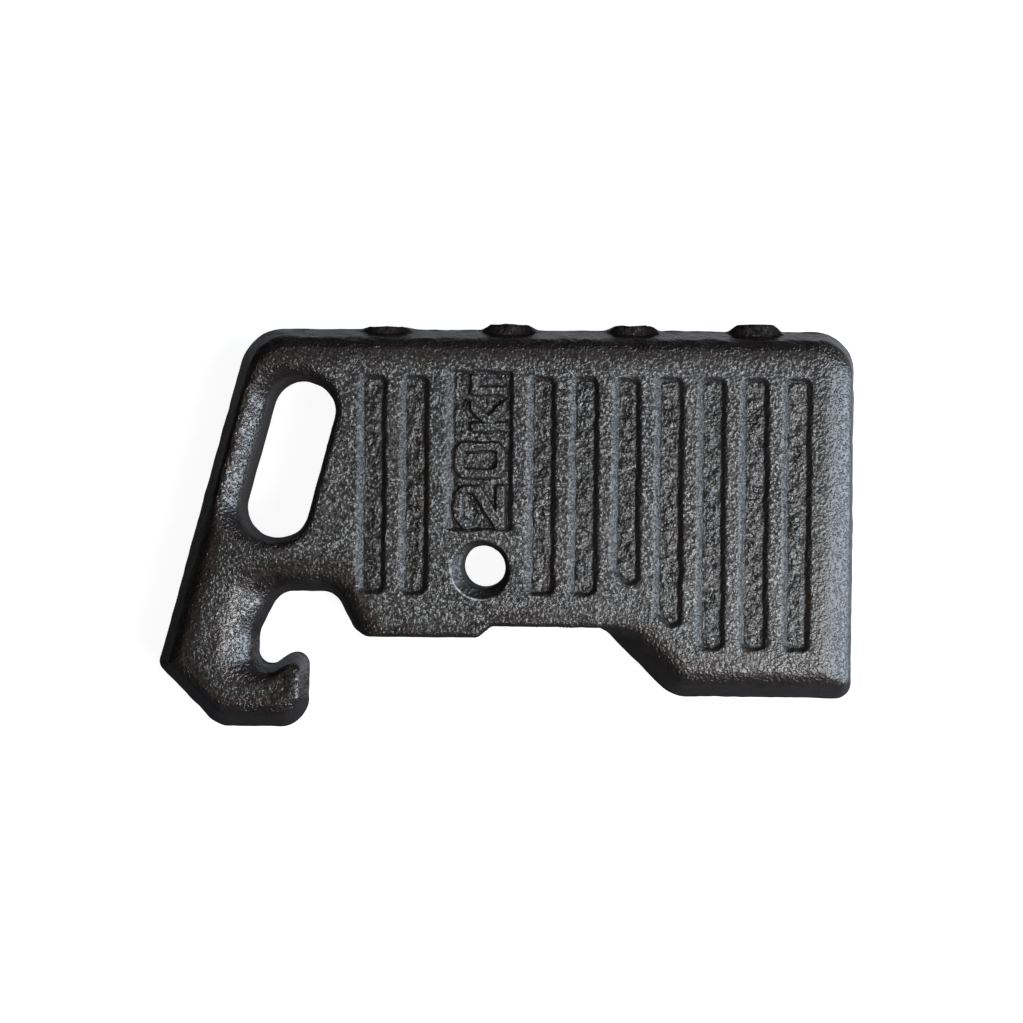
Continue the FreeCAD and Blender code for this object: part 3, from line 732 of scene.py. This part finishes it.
def fill(boundaries, points):
    """Triangulates points inside the first boundary and outside the others, keeping depths."""
    rows = np.concatenate(boundaries + [points])
    counts = np.cumsum([0] + [len(boundary) for boundary in boundaries])
    loops = [list(range(counts[i], counts[i + 1]))[::-1] for i in range(len(boundaries))]
    flat = [Vector(row) for row in rows[:, [0, 2]].tolist()]
    _, _, triangles, sources, _, owners = delaunay_2d_cdt(flat, [], loops, 0, SAME_PLACE)
    used = np.array([source[0] for source in sources])
    in_first = [triangle for triangle, owner in zip(triangles, owners) if list(owner) == [0]]
    return rows, used[np.array(in_first)]


walls, back_walls = len(WALL_ROWS), len(BACK_WALL_ROWS)
front_limits = [front_rings[walls - 1], slot_rings[walls - 1], bore[-1]]
front_points = np.concatenate([front_arcs, slot_arcs, ribbed_points])
front_rows, front_faces = fill(front_limits, front_points)
print("ribbed face:", len(front_rows), "points,", len(front_faces), "triangles")

back_grid = open_face(hexagonal(BACK_GRID, BACK_JITTER, seed=5), BACK_MARGIN)
back_flat = np.stack([back_grid[:, 0], np.full(len(back_grid), HALF), back_grid[:, 1]], -1)
back_limits = [back_rings[back_walls - 1], slot_back_rings[back_walls - 1], bore[-1]]
back_points = np.concatenate([back_arcs, slot_back_arcs, back_flat])
back_rows, back_faces = fill(back_limits, back_points)
print("plain face:", len(back_rows), "points,", len(back_faces), "triangles")

# %% [markdown]
# ## One closed skin
#
# The walls, the two faces and the bore are joined into one mesh. Points that lie on the same place
# become one, so the skin closes. An edge count proves it: on a closed surface every edge has
# exactly two faces.

# %% Joining the parts
WELD_DIGITS = 4


def strip_faces(rows, count, flipped):
    """Triangles between neighbouring closed rings."""
    row, column = np.meshgrid(np.arange(rows - 1), np.arange(count), indexing="ij")
    here, beside = row * count + column, row * count + (column + 1) % count
    above, across = here + count, beside + count
    faces = np.concatenate([np.stack([here, above, across], -1).reshape(-1, 3),
                            np.stack([here, across, beside], -1).reshape(-1, 3)])
    return faces[:, ::-1] if flipped else faces


def placed(rows, side):
    """Rows of (x, depth, z) in the part's frame: side -1 is the ribbed face, 1 the plain one."""
    return rows.reshape(-1, 3) * [1.0, side, 1.0]


def strip(ring_rows, side, hollow):
    """A strip's places and faces. Each mirror and each hole turns the faces round once."""
    flipped = (side > 0) != hollow
    return placed(ring_rows, side), strip_faces(*ring_rows.shape[:2], flipped=flipped)


def weld(parts):
    """Joins parts, merging the points that lie on one place to a tenth of a micron."""
    counts = np.cumsum([0] + [len(places) for places, _ in parts])
    places = np.concatenate([part for part, _ in parts])
    faces = np.concatenate([part + start for (_, part), start in zip(parts, counts)])
    rounded = places.round(WELD_DIGITS)
    _, first, inverse = np.unique(rounded, axis=0, return_index=True, return_inverse=True)
    faces = inverse.reshape(-1)[faces]
    whole = (faces != np.roll(faces, 1, 1)).all(1)
    return places[first], faces[whole]


def open_edges(faces):
    """How many edges don't have exactly two faces."""
    edges = np.sort(np.concatenate([faces[:, [0, 1]], faces[:, [1, 2]], faces[:, [2, 0]]]), axis=1)
    return int((np.unique(edges, axis=0, return_counts=True)[1] != 2).sum())


places, faces = weld([
    strip(front_rings[:walls], -1.0, False),
    strip(slot_rings[:walls], -1.0, True),
    strip(bore, -1.0, True),
    (placed(front_rows, -1.0), front_faces),
    strip(back_rings[:back_walls], 1.0, False),
    strip(slot_back_rings[:back_walls], 1.0, True),
    strip(bore, 1.0, True),
    (placed(back_rows, 1.0), back_faces[:, ::-1]),
])
print("skin:", len(places), "points,", len(faces), "triangles,", open_edges(faces), "open edges")

# %% [markdown]
# ## What the sand leaves
#
# Nothing on a sand casting is quite straight. Where the two halves of the mould met there is a thin
# ragged seam. Broad swells come from the pattern, smaller ones from the ramming of the sand, and
# the grain of the sand itself is left to the material. A Displace modifier could add the swells,
# but only one noise at a time. Here they are smooth noise on a lattice of random numbers, added
# along the normals of all points at once. The noise follows the place and not the order of the
# points, so it fits across the welds.

# %% Noise and normals
LATTICE = 64


def swell(places, size, seed):
    """Smooth noise from about -1 to 1, blended between the eight lattice numbers round a place."""
    cells = places / size
    base = np.floor(cells).astype(int)
    share = smooth(cells - base)
    numbers = np.random.default_rng(seed).uniform(-1, 1, (LATTICE,) * 3)
    total = np.zeros(len(places))
    for corner in np.ndindex(2, 2, 2):
        weight = np.where(corner, share, 1 - share).prod(1)
        total += weight * numbers[tuple(((base + corner) % LATTICE).T)]
    return total


def swells(places, waves):
    """The sum of several swells, each with its height, size and seed."""
    return sum(height * swell(places, size, seed) for height, size, seed in waves)


def normals_of(places, faces):
    """Outward unit normals of the points: the sum of their faces' normals, weighted by area."""
    corners = places[faces]
    facing = np.cross(corners[:, 1] - corners[:, 0], corners[:, 2] - corners[:, 0])
    total = np.stack([np.bincount(faces.ravel(), np.repeat(facing[:, axis], 3), len(places))
                      for axis in range(3)], -1)
    return total / np.linalg.norm(total, axis=1)[:, None]


normals = normals_of(places, faces)
print("mean outward push:", (normals * places).sum(1).mean().round(2))

# %% Gate stubs and parting seam
# Each stub: its middle along the rim, and its height
GATES = [(-57.4, 137.9), (12.6, 139.8), (84.0, 139.4), (155.4, 140.4)]
# Half its length and depth, how it narrows towards its ends, and how wide its slopes are
GATE_HALF = 17.0
GATE_DEEP = 8.3
GATE_TAPER, GATE_TAPER_POWER = 0.7, 2.4
GATE_FALL = 7.0
GATE_SIDE = 0.7
# How far below the rim's top points still rise with it
GATE_REACH = 8.0
# Swells are given by height, size and seed
GATE_ROUGH = [(0.35, 2.6, 21), (0.5, 7.0, 22)]
GATE_RAGGED = [(1.2, 9.0, 23)]
SEAM = 0.34
SEAM_MEAN = 0.55
SEAM_RAGGED = [(0.6, 5.0, 31), (0.5, 23.0, 32)]
ON_PLANE = 0.01


def gate_stubs(places):
    """Raises the rim to a rough stub at each gate: full inside, with sloped ends, steep sides."""
    raised = places.copy()
    on_top = places[:, 2] > TOP - GATE_REACH
    rough = swells(places, GATE_ROUGH)
    for centre, height in GATES:
        away = abs(places[:, 0] - centre)
        along = eased(GATE_HALF + swells(places, GATE_RAGGED) - away, 0.0, GATE_FALL)
        deep = GATE_DEEP * (1 - GATE_TAPER * np.clip(away / GATE_HALF, 0, 1) ** GATE_TAPER_POWER)
        across = eased(deep - abs(places[:, 1]), 0.0, GATE_SIDE)
        share = np.where(on_top, along * across, 0.0)
        raised[:, 2] += share * (height + rough - places[:, 2])
    return raised


def parting_seam(places, normals):
    """Pushes out the points on the parting plane by a ragged amount, but not in the bore."""
    ragged = np.clip(SEAM_MEAN + swells(places, SEAM_RAGGED), 0.0, 1.0)
    push = np.where(abs(places[:, 1]) < ON_PLANE, SEAM * ragged, 0.0)
    push[np.hypot(places[:, 0], places[:, 2]) < BORE_RADIUS + 1] = 0
    return places + normals * push[:, None]


stubbed = gate_stubs(places)
print("highest stub, mm:", stubbed[:, 2].max().round(2))

# %% Drift and the hook's fall
DRIFT_X = [(0.45, 8.0, 41), (0.48, 3.4, 46)]
DRIFT_Z = [(0.45, 8.0, 42), (0.48, 3.4, 47)]
# How far the shank falls away, over what distance from the pocket, and between which x and z
HOOK_FALL = 7.0
HOOK_FALL_REACH = 32.0
HOOK_ACROSS = (-98.0, -124.0)
HOOK_UP = (4.0, -18.0)


def ripple(places):
    """A sideways drift, so that the edges of the grooves and the figures aren't ruled lines."""
    still = np.zeros(len(places))
    return np.stack([swells(places, DRIFT_X), still, swells(places, DRIFT_Z)], -1)


def hook_round(places):
    """How far the shank falls away towards the pocket: a parabola, none at mid-thickness."""
    x, y, z = places.T
    off_wall = np.maximum(POCKET_WALL + POCKET_RADIUS - x, 0)
    below_centre = np.minimum(z - (POCKET_FLOOR + POCKET_RADIUS), 0)
    away = np.hypot(off_wall, below_centre) - POCKET_RADIUS
    share = np.clip(1 - away / HOOK_FALL_REACH, 0, 1) ** 2
    share *= eased(x, *HOOK_ACROSS) * eased(z, *HOOK_UP)
    return HOOK_FALL * share * (y / HALF) * abs(y / HALF)


print("deepest fall of the shank, mm:", hook_round(places).max().round(2))

# %% Swells
PATTERN_SWELLS = [(0.25, 40.0, 51), (0.16, 9.0, 52), (0.08, 3.4, 53)]
FLOOR_LUMPS = [(0.60, 6.0, 54), (0.42, 3.2, 56)]
DIMPLE = 0.12
# How level a normal is on a flat place, and how deep a sunk place lies
FLAT_LEVEL = (0.93, 0.997)
SUNK_DEPTH = (1.2, 2.2)
FRONT_DEPTH = -17.0
SLACK = 0.6

flatness = eased(abs(normals_of(stubbed, faces)[:, 1]), *FLAT_LEVEL)
sunk = eased(HALF - abs(places[:, 1]), *SUNK_DEPTH) * flatness
lump = swells(places, PATTERN_SWELLS)
lump += sunk * swells(places, FLOOR_LUMPS)
lump -= DIMPLE * flatness * swell(places, 3.4, 55) ** 2
on_front = (normals[:, 1:2] < -0.3) & (places[:, 1:2] < FRONT_DEPTH)
skin = parting_seam(stubbed, normals) + normals * lump[:, None] + ripple(places) * on_front
skin[:, 1] -= hook_round(places)
skin = np.clip(skin, low - SLACK, high + SLACK)
print("skin box, mm:", skin.min(0).round(2), skin.max(0).round(2))

# %% [markdown]
# ## Marks for the paint
#
# The paint looks different on a flat face, on a drawn wall, on the hook and at the bottom of a
# groove; several of these marks also carry painted shade, and one a painted highlight. Those
# places could be painted by hand, but that needs an image. Here the mesh carries one number from
# 0 to 1 at each point for each of them, worked out from where the point lies, and the material
# blends its colours, roughness and grain by these marks.

# %% Faces and borders
OPEN_MARGIN = 0.3
BORDER_MARGINS = np.arange(0.5, 8.0, 1.0)
GRAINY_LEVEL = (0.5, 0.85)
HOOK_END_SHADE_ACROSS = (-108.0, -140.0)

flat_places = places[:, [0, 2]]
open_area = on_flat(flat_places, OPEN_MARGIN)
rim = np.where(open_area, 0.0, 1.0)
grainy = eased(abs(normals[:, 1]), *GRAINY_LEVEL)
# The grain also stands on the walls of the recesses, but not on those that face the hook
ribbed_area = open_area & (beyond_rim(flat_places) > 0) & (normals[:, 0] > -0.25)
grainy = np.where(ribbed_area, 1.0, grainy)
# Painted shade: 1 at the edge of the flat face along the outline, fading over about 8 mm
clear_of_border = [inside(flat_places, face_edge(OUTLINE, 1.0, margin))
                   for margin in BORDER_MARGINS]
border_shade = 1 - np.mean(clear_of_border, 0)
# Painted shade: 1 towards the hook end, over the hook and the grip, where the colour is darkened
hook_end_shade = eased(places[:, 0], *HOOK_END_SHADE_ACROSS)
print("open area:", open_area.mean().round(3), " border:", border_shade.mean().round(3))

# %% Painted rim highlight and dull walls
# The painted highlight arc's middle and half width in radians, how far from the rim it goes, and
# its depth
HIGHLIGHT_WAY = -2.2
HIGHLIGHT_REACH = 0.95
HIGHLIGHT_BAND = (-6.0, 3.0)
HIGHLIGHT_DEPTH = -15.0
SLOT_WALL_MARGIN = 0.5
WALL_DULL, ROUND_DULL, END_DULL = 0.5, 0.20, 0.10
END_ACROSS = (185.0, 203.0)


def painted_rim_highlight(places):
    """A painted highlight along the flare's rim: a patchy arc at its lower left, on the ribbed
    face.
    """
    flat = places[:, [0, 2]]
    beyond, from_flare = beyond_rim(flat), flat - FLARE_SHIFT
    near = (beyond > HIGHLIGHT_BAND[0]) & (beyond < HIGHLIGHT_BAND[1]) & (places[:, 1] < HIGHLIGHT_DEPTH)
    turn = np.arctan2(from_flare[:, 1], from_flare[:, 0])
    arc = np.clip(1.25 - abs((turn - HIGHLIGHT_WAY) / HIGHLIGHT_REACH), 0, 1)
    return np.where(near, arc * np.clip(0.8 + swell(places, 2.5, 61), 0, 1), 0.0)


def straight_walls(places):
    """1 on the straight walls of the slot and of the bore, 0 elsewhere."""
    insets = np.array([[section(side[0], WALL_ROWS, ARC_ROWS)[0][walls - 1] + SLOT_WALL_MARGIN
                        for side in SLOT]])
    slot_edge = rings(SLOT, insets, insets, COARSE, inward=-1.0)[0][0]
    in_bore = np.hypot(places[:, 0], places[:, 2]) < BORE_RADIUS + 0.5
    in_waist = abs(places[:, 1]) < WAIST + 0.1
    return np.where(inside(flat_places, slot_edge) | (in_bore & in_waist), 1.0, 0.0)


inner = straight_walls(places)
dull = (WALL_DULL * inner + ROUND_DULL * (1 - flatness) * (1 - rim) * (1 - inner)
        + END_DULL * eased(places[:, 0], *END_ACROSS))
paint_marks = {"flatness": flatness, "grainy": grainy, "sunk": sunk, "rim": rim,
               "rim_highlight": painted_rim_highlight(places), "hook_end_shade": hook_end_shade, "border_shade": border_shade, "dull": dull}
print("marks:", {name: round(float(mark.mean()), 3) for name, mark in paint_marks.items()})

# %% [markdown]
# ## The casting as an object
#
# The points and triangles go into the mesh as whole arrays, and the marks go with them as
# attributes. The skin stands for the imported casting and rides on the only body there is.

# %% The object
def make_piece(name, places, faces, marks):
    """A mesh object from places in millimetres and triangles, with named values on its points."""
    mesh = bpy.data.meshes.new(name)
    mesh.vertices.add(len(places))
    mesh.vertices.foreach_set("co", (places * MM).ravel())
    mesh.loops.add(faces.size)
    mesh.loops.foreach_set("vertex_index", faces.ravel())
    mesh.polygons.add(len(faces))
    mesh.polygons.foreach_set("loop_start", np.arange(0, faces.size, 3))
    mesh.update(calc_edges=True)
    mesh.validate()
    mesh.shade_smooth()
    for mark, values in marks.items():
        attribute = mesh.attributes.new(mark, "FLOAT", "POINT")
        attribute.data.foreach_set("value", values.astype(np.float32))
    piece = bpy.data.objects.new(name, mesh)
    bpy.context.scene.collection.objects.link(piece)
    return piece


casting = make_piece("casting_skin", skin, faces, paint_marks)
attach(casting, "root")
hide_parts(NODE)
print("casting:", len(casting.data.polygons), "triangles")

# %% [markdown]
# ## Formulas for the material
#
# A shader is easier to read as a formula than as a web of nodes. A small class wraps an output
# socket, so that plus, minus and times each add a Math node. Every other node comes from one
# method.

# %% Wires
class Wire:
    """An output socket that can be used in formulas."""

    def __init__(self, tree, socket):
        self.tree = tree
        self.socket = socket

    @staticmethod
    def add(tree, kind, settings=None, output=0, **inputs):
        """Adds a node: settings first, then values or wires of its sockets, by name or number."""
        node = tree.nodes.new(kind)
        for name, value in (settings or {}).items():
            setattr(node, name, value)
        for name, value in inputs.items():
            socket = node.inputs[int(name[1:]) if name[1:].isdigit() else name.replace("_", " ")]
            if isinstance(value, Wire):
                tree.links.new(value.socket, socket)
            else:
                socket.default_value = value
        return Wire(tree, node.outputs[output] if node.outputs else None)

    def math(self, operation, other):
        """One Math node on this wire and another wire or a number."""
        return Wire.add(self.tree, "ShaderNodeMath", {"operation": operation}, i0=self, i1=other)

    def __add__(self, other):
        return self.math("ADD", other)

    def __mul__(self, other):
        return self.math("MULTIPLY", other)

    def __sub__(self, other):
        return self.math("SUBTRACT", other)

    def __rsub__(self, other):
        return Wire.add(self.tree, "ShaderNodeMath", {"operation": "SUBTRACT"}, i0=other, i1=self)

    __radd__ = __add__
    __rmul__ = __mul__

    def part(self, axis):
        """One of the three numbers of a vector."""
        return Wire.add(self.tree, "ShaderNodeSeparateXYZ", output=axis, Vector=self)

    def step(self, start, end):
        """A smooth step from 0 to 1 as this wire goes from start to end."""
        return Wire.add(self.tree, "ShaderNodeMapRange", {"interpolation_type": "SMOOTHSTEP"},
                        Value=self, From_Min=start, From_Max=end)

    def blend(self, first, second):
        """The first colour where this wire is 0, the second where it is 1."""
        return Wire.add(self.tree, "ShaderNodeMix", {"data_type": "RGBA"}, output=2,
                        i0=self, i6=first, i7=second)


print("formulas ready")

# %% [markdown]
# ## Black casting paint
#
# The paint is thin and satin. On the flat faces the sand grain stands through it, with bright
# tips and dark pits, so they look grey and speckled; the bright tips are partly worn and partly
# painted glints. The drawn walls and rounds, where the pattern slid past the sand, stay smooth and
# nearly black, partly from that smoother finish and partly as painted shade where they turn away
# from the face. Painted shade also darkens the border of each face and the hook end, over the hook
# and the grip. The floors of the grooves get painted shade in coarse dark lumps, and the flare's
# rim gets a painted highlight at its lower left. An image could show all that from one side only.
# So each of these is a noise or a mark of the mesh that blends in one colour.

# %% Noise and marks
GRAIN, FINE_GRAIN, CLUMP, CLOUD = 1.6, 1.0, 4.5, 30.0


def noise(tree, place, size, detail):
    """Smooth noise from 0 to 1 with features of a size in millimetres."""
    return Wire.add(tree, "ShaderNodeTexNoise", {"noise_dimensions": "3D"}, Vector=place,
                    Scale=1 / (size * MM), Detail=detail, Roughness=0.5)


def mark_wire(tree, name):
    """A mark that the mesh carries on its points."""
    return Wire.add(tree, "ShaderNodeAttribute", {"attribute_name": name}, output=2)


print("grain, mm:", GRAIN, FINE_GRAIN, " clumps, mm:", CLUMP)

# %% Colours
CLOUD_STEP = (0.3, 0.7)
TIP_AND_GLINT_STEP = (0.54, 0.66)
PIT_STEP = (0.36, 0.47)
LUMP_STEP = (0.50, 0.60)
SMOOTH_AND_SLOPE_SHADE_PAINT = (0.015, 0.0115, 0.0105, 1), (0.021, 0.0172, 0.0162, 1)
GRAINY_PAINT = (0.046, 0.042, 0.039, 1), (0.064, 0.059, 0.055, 1)
HOOK_END_SHADE_PAINT = (0.022, 0.0185, 0.017, 1)
BORDER_SHADE_PAINT = (0.020, 0.015, 0.013, 1)
BROWN_EDGE = (0.046, 0.031, 0.025, 1)
GRAIN_TIP_AND_GLINT = (0.28, 0.272, 0.265, 1)
GRAIN_PIT = (0.010, 0.009, 0.009, 1)
GROOVE_FLOOR_SHADE = (0.010, 0.009, 0.008, 1)
RIM_HIGHLIGHT_COLOUR = (0.75, 0.74, 0.73, 1)
# Radii in millimetres between which the painted highlight ring fades in, and out again
HIGHLIGHT_RING_IN, HIGHLIGHT_RING_OUT = (16.3, 16.7), (17.2, 17.7)


def rim_highlight_ring(place):
    """1 on a narrow ring along the flare's rim, by the squared distance from the flare's axis."""
    off_x = place.part(0) - FLARE_SHIFT[0] * MM
    off_z = place.part(2) - FLARE_SHIFT[1] * MM
    squared = (off_x * off_x + off_z * off_z) * (1 / MM ** 2)
    inner, outer = ([radius ** 2 for radius in radii] for radii in (HIGHLIGHT_RING_IN, HIGHLIGHT_RING_OUT))
    return squared.step(*inner) * (1 - squared.step(*outer))


def paint_colour(place, cloud, sand, clump, marks):
    """The colour: smooth or grainy paint first, then one blend for each kind of place."""
    flat, hook_end_shade, border_shade, sunk = (marks[name] for name in ("flatness", "hook_end_shade", "border_shade", "sunk"))
    tips_and_glints = sand.step(*TIP_AND_GLINT_STEP) * flat
    pits = (1 - sand.step(*PIT_STEP)) * flat
    # Smooth paint on walls and rounds, nearly black: partly their smoother finish, partly painted
    # shade where they turn away from the face
    colour = flat.blend(cloud.blend(*SMOOTH_AND_SLOPE_SHADE_PAINT), cloud.blend(*GRAINY_PAINT))
    # Painted shade towards the hook end, over the hook and the grip
    colour = (0.6 * flat * hook_end_shade).blend(colour, HOOK_END_SHADE_PAINT)
    # Painted shade along the border of each face
    colour = (0.85 * flat * border_shade).blend(colour, BORDER_SHADE_PAINT)
    colour = (2.0 * flat * (1 - flat) * marks["rim"]).blend(colour, BROWN_EDGE)
    # Bright grain tips: partly worn tips, partly painted glints
    shown_tips_and_glints = 0.95 * tips_and_glints * (1 - 0.5 * hook_end_shade) * (1 - 0.8 * border_shade)
    colour = shown_tips_and_glints.blend(colour, GRAIN_TIP_AND_GLINT)
    colour = pits.blend(colour, GRAIN_PIT)
    # Painted shade on the groove floors, partly in coarse dark lumps
    colour = (sunk * (0.15 + 0.75 * clump.step(*LUMP_STEP))).blend(colour, GROOVE_FLOOR_SHADE)
    # A painted highlight along the flare's rim, on a patchy arc at its lower left
    return (0.9 * marks["rim_highlight"] * rim_highlight_ring(place)).blend(colour, RIM_HIGHLIGHT_COLOUR)


print("colours ready")

# %% Paint
CRUMB_STEP = (0.46, 0.66)


def casting_paint():
    """The material of the whole casting."""
    material = bpy.data.materials.new("black_casting_paint")
    material.use_nodes = True
    tree = material.node_tree
    tree.nodes.clear()
    place = Wire.add(tree, "ShaderNodeTexCoord", output=3)
    marks = {name: mark_wire(tree, name) for name in paint_marks}
    flat, grainy = marks["flatness"], marks["grainy"]

    cloud = noise(tree, place, CLOUD, 3.0).step(*CLOUD_STEP)
    grain = noise(tree, place, GRAIN, 1.0)
    clump = noise(tree, place, CLUMP, 2.0)
    sand = 0.7 * grain + 0.3 * noise(tree, place, FINE_GRAIN, 1.0)
    colour = paint_colour(place, cloud, sand, clump, marks)
    roughness = 0.20 + 0.05 * flat + 0.06 * cloud + marks["dull"]

    # The sand's own grain, sharp crumbs on it, fewer along the border of each face, and clumps
    height = grain * (0.12 + 0.12 * grainy + 0.08 * flat)
    unfilled = 1 - 0.8 * marks["border_shade"] * flat
    height = height + sand.step(*CRUMB_STEP) * (0.06 + 0.26 * grainy * unfilled)
    height = height + clump * (0.25 + 0.3 * grainy + 2.0 * marks["sunk"])
    normal = Wire.add(tree, "ShaderNodeBump", Strength=1.0, Distance=MM, Height=height)
    paint = Wire.add(tree, "ShaderNodeBsdfPrincipled", Base_Color=colour, Roughness=roughness,
                     Normal=normal, IOR=1.6)
    Wire.add(tree, "ShaderNodeOutputMaterial", Surface=paint)
    return material


casting.data.materials.append(casting_paint())
print("paint nodes:", len(casting.data.materials[0].node_tree.nodes))

# %% [markdown]
# ## The stage
#
# The weight stands against white, with a big window at its plain end. A board close behind it
# takes its soft shadow. Only the camera sees the board, because the iron is lit and mirrored as if
# the white went on for ever. A curved backdrop would do as well, but it would put its white into
# every round of the casting.

# %% Floor and board
FLOOR_Z = -0.42
FLOOR_REACH = 3
BOARD_Y = 0.034
BOARD_REACH = 2


def sheet(name, corners):
    """A flat stage piece from its four corners, in metres."""
    mesh = bpy.data.meshes.new(name)
    mesh.from_pydata(corners, [], [(0, 1, 2, 3)])
    piece = bpy.data.objects.new(name, mesh)
    bpy.context.scene.collection.objects.link(piece)
    return piece


def stage_material(name, own, glow, one_sided):
    """A pale matt finish with a glow for the camera alone: white where no shadow falls."""
    material = bpy.data.materials.new(name)
    material.use_nodes = True
    tree = material.node_tree
    tree.nodes.clear()
    camera_ray = Wire.add(tree, "ShaderNodeLightPath", output=0)
    matt = Wire.add(tree, "ShaderNodeBsdfDiffuse", Color=(own, own, own, 1))
    light = Wire.add(tree, "ShaderNodeEmission", Strength=camera_ray * glow)
    surface = Wire.add(tree, "ShaderNodeAddShader", i0=matt, i1=light)
    if one_sided:
        behind = Wire.add(tree, "ShaderNodeNewGeometry", output=6)
        clear = Wire.add(tree, "ShaderNodeBsdfTransparent")
        shown = camera_ray * (1 - behind)
        surface = Wire.add(tree, "ShaderNodeMixShader", i0=shown, i1=clear, i2=surface)
    Wire.add(tree, "ShaderNodeOutputMaterial", Surface=surface)
    return material


floor = sheet("floor", [(-FLOOR_REACH, -FLOOR_REACH, FLOOR_Z), (FLOOR_REACH, -FLOOR_REACH, FLOOR_Z),
                        (FLOOR_REACH, FLOOR_REACH, FLOOR_Z), (-FLOOR_REACH, FLOOR_REACH, FLOOR_Z)])
floor.data.materials.append(stage_material("pale_floor", 0.20, 0.8, False))
board = sheet("board", [(-BOARD_REACH, BOARD_Y, FLOOR_Z), (BOARD_REACH, BOARD_Y, FLOOR_Z),
                        (BOARD_REACH, BOARD_Y, BOARD_REACH), (-BOARD_REACH, BOARD_Y, BOARD_REACH)])
board.data.materials.append(stage_material("white_board", 0.35, 0.93, True))
print("stage pieces: floor, board")

# %% [markdown]
# ## Lamps and world
#
# The window is one large cool lamp at the plain end, with a weak one behind it that reaches round
# the end. A small lamp low in front lights the grain at a slant, which makes it stand out. A world
# of one grey would flatten the black paint, so the world is bright behind the weight, dark to the
# sides and a soft grey from the front. The camera sees it white.

# %% Lamps
WINDOW_AIM = (0.05, 0, 0.03)
DAYLIGHT = (0.72, 0.86, 1.0)
LAMPLIGHT = (0.99, 0.97, 0.95)


def lamp(name, place, aim, size, power, colour):
    """A soft square lamp that looks at a point."""
    light = bpy.data.lights.new(name, "AREA")
    light.shape = "RECTANGLE"
    light.size, light.size_y = size
    light.energy = power
    light.color = colour
    piece = bpy.data.objects.new(name, light)
    piece.location = place
    piece.visible_camera = False
    piece.rotation_euler = (Vector(aim) - Vector(place)).to_track_quat("-Z", "Y").to_euler()
    bpy.context.scene.collection.objects.link(piece)


lamp("window", (1.28, -0.51, -0.10), WINDOW_AIM, (1.3, 1.15), 41.0, DAYLIGHT)
lamp("window_end", (1.32, 0.30, -0.05), WINDOW_AIM, (0.8, 0.7), 4.0, DAYLIGHT)
lamp("front_fill", (0.46, -0.74, -0.42), (0.0, 0, 0), (0.55, 0.55), 14.0, LAMPLIGHT)

# %% World
WHITE = (1, 1, 1, 1)
SIDES = (0.022, 0.019, 0.018, 1)
BEHIND = (0.64, 0.68, 0.74, 1)
FRONT = (0.18, 0.175, 0.17, 1)


def room():
    """The world: white for the camera, and by direction for all other rays."""
    world = bpy.data.worlds.new("room")
    world.use_nodes = True
    bpy.context.scene.world = world
    tree = world.node_tree
    tree.nodes.clear()
    way = Wire.add(tree, "ShaderNodeTexCoord", output=0)
    across, apart, rise = (way.part(axis) for axis in range(3))
    bright_end = across.step(-0.5, 0.5) * 0.8 + rise.step(0.0, 0.5) * 0.3
    behind = apart.step(0.45, 0.95) * (0.04 + bright_end)
    in_front = (0 - apart).step(0.7, 1.0)
    light = in_front.blend(behind.blend(SIDES, BEHIND), FRONT)
    shown = Wire.add(tree, "ShaderNodeLightPath", output=0).blend(light, WHITE)
    background = Wire.add(tree, "ShaderNodeBackground", Color=shown, Strength=1.0)
    Wire.add(tree, "ShaderNodeOutputWorld", Surface=background)
    return world


print("world nodes:", len(room().node_tree.nodes))

# %% [markdown]
# ## The camera
#
# The camera stands level with the middle of the weight, about 0.9 m in front of it and slightly to
# the right, with the small tilt of a camera held by hand. It looks at a point, so that its place
# and its aim can be changed one at a time.

# %% Camera
CAMERA_PLACE = Vector((34.05, -899.8, 31.96)) * MM
CAMERA_AIM = Vector((15.21, 0, 31.96)) * MM
TILT = math.radians(0.55)

view = bpy.data.cameras.new("view")
view.lens = 54.6
view.sensor_width = 36.0
camera = bpy.data.objects.new("view", view)
camera.location = CAMERA_PLACE
facing = (CAMERA_AIM - CAMERA_PLACE).to_track_quat("-Z", "Y").to_matrix()
camera.rotation_euler = (facing @ Matrix.Rotation(TILT, 3, "Z")).to_euler()
bpy.context.scene.collection.objects.link(camera)
bpy.context.scene.camera = camera
bpy.context.scene.view_settings.view_transform = "Standard"
print("camera:", [round(value, 4) for value in camera.location])
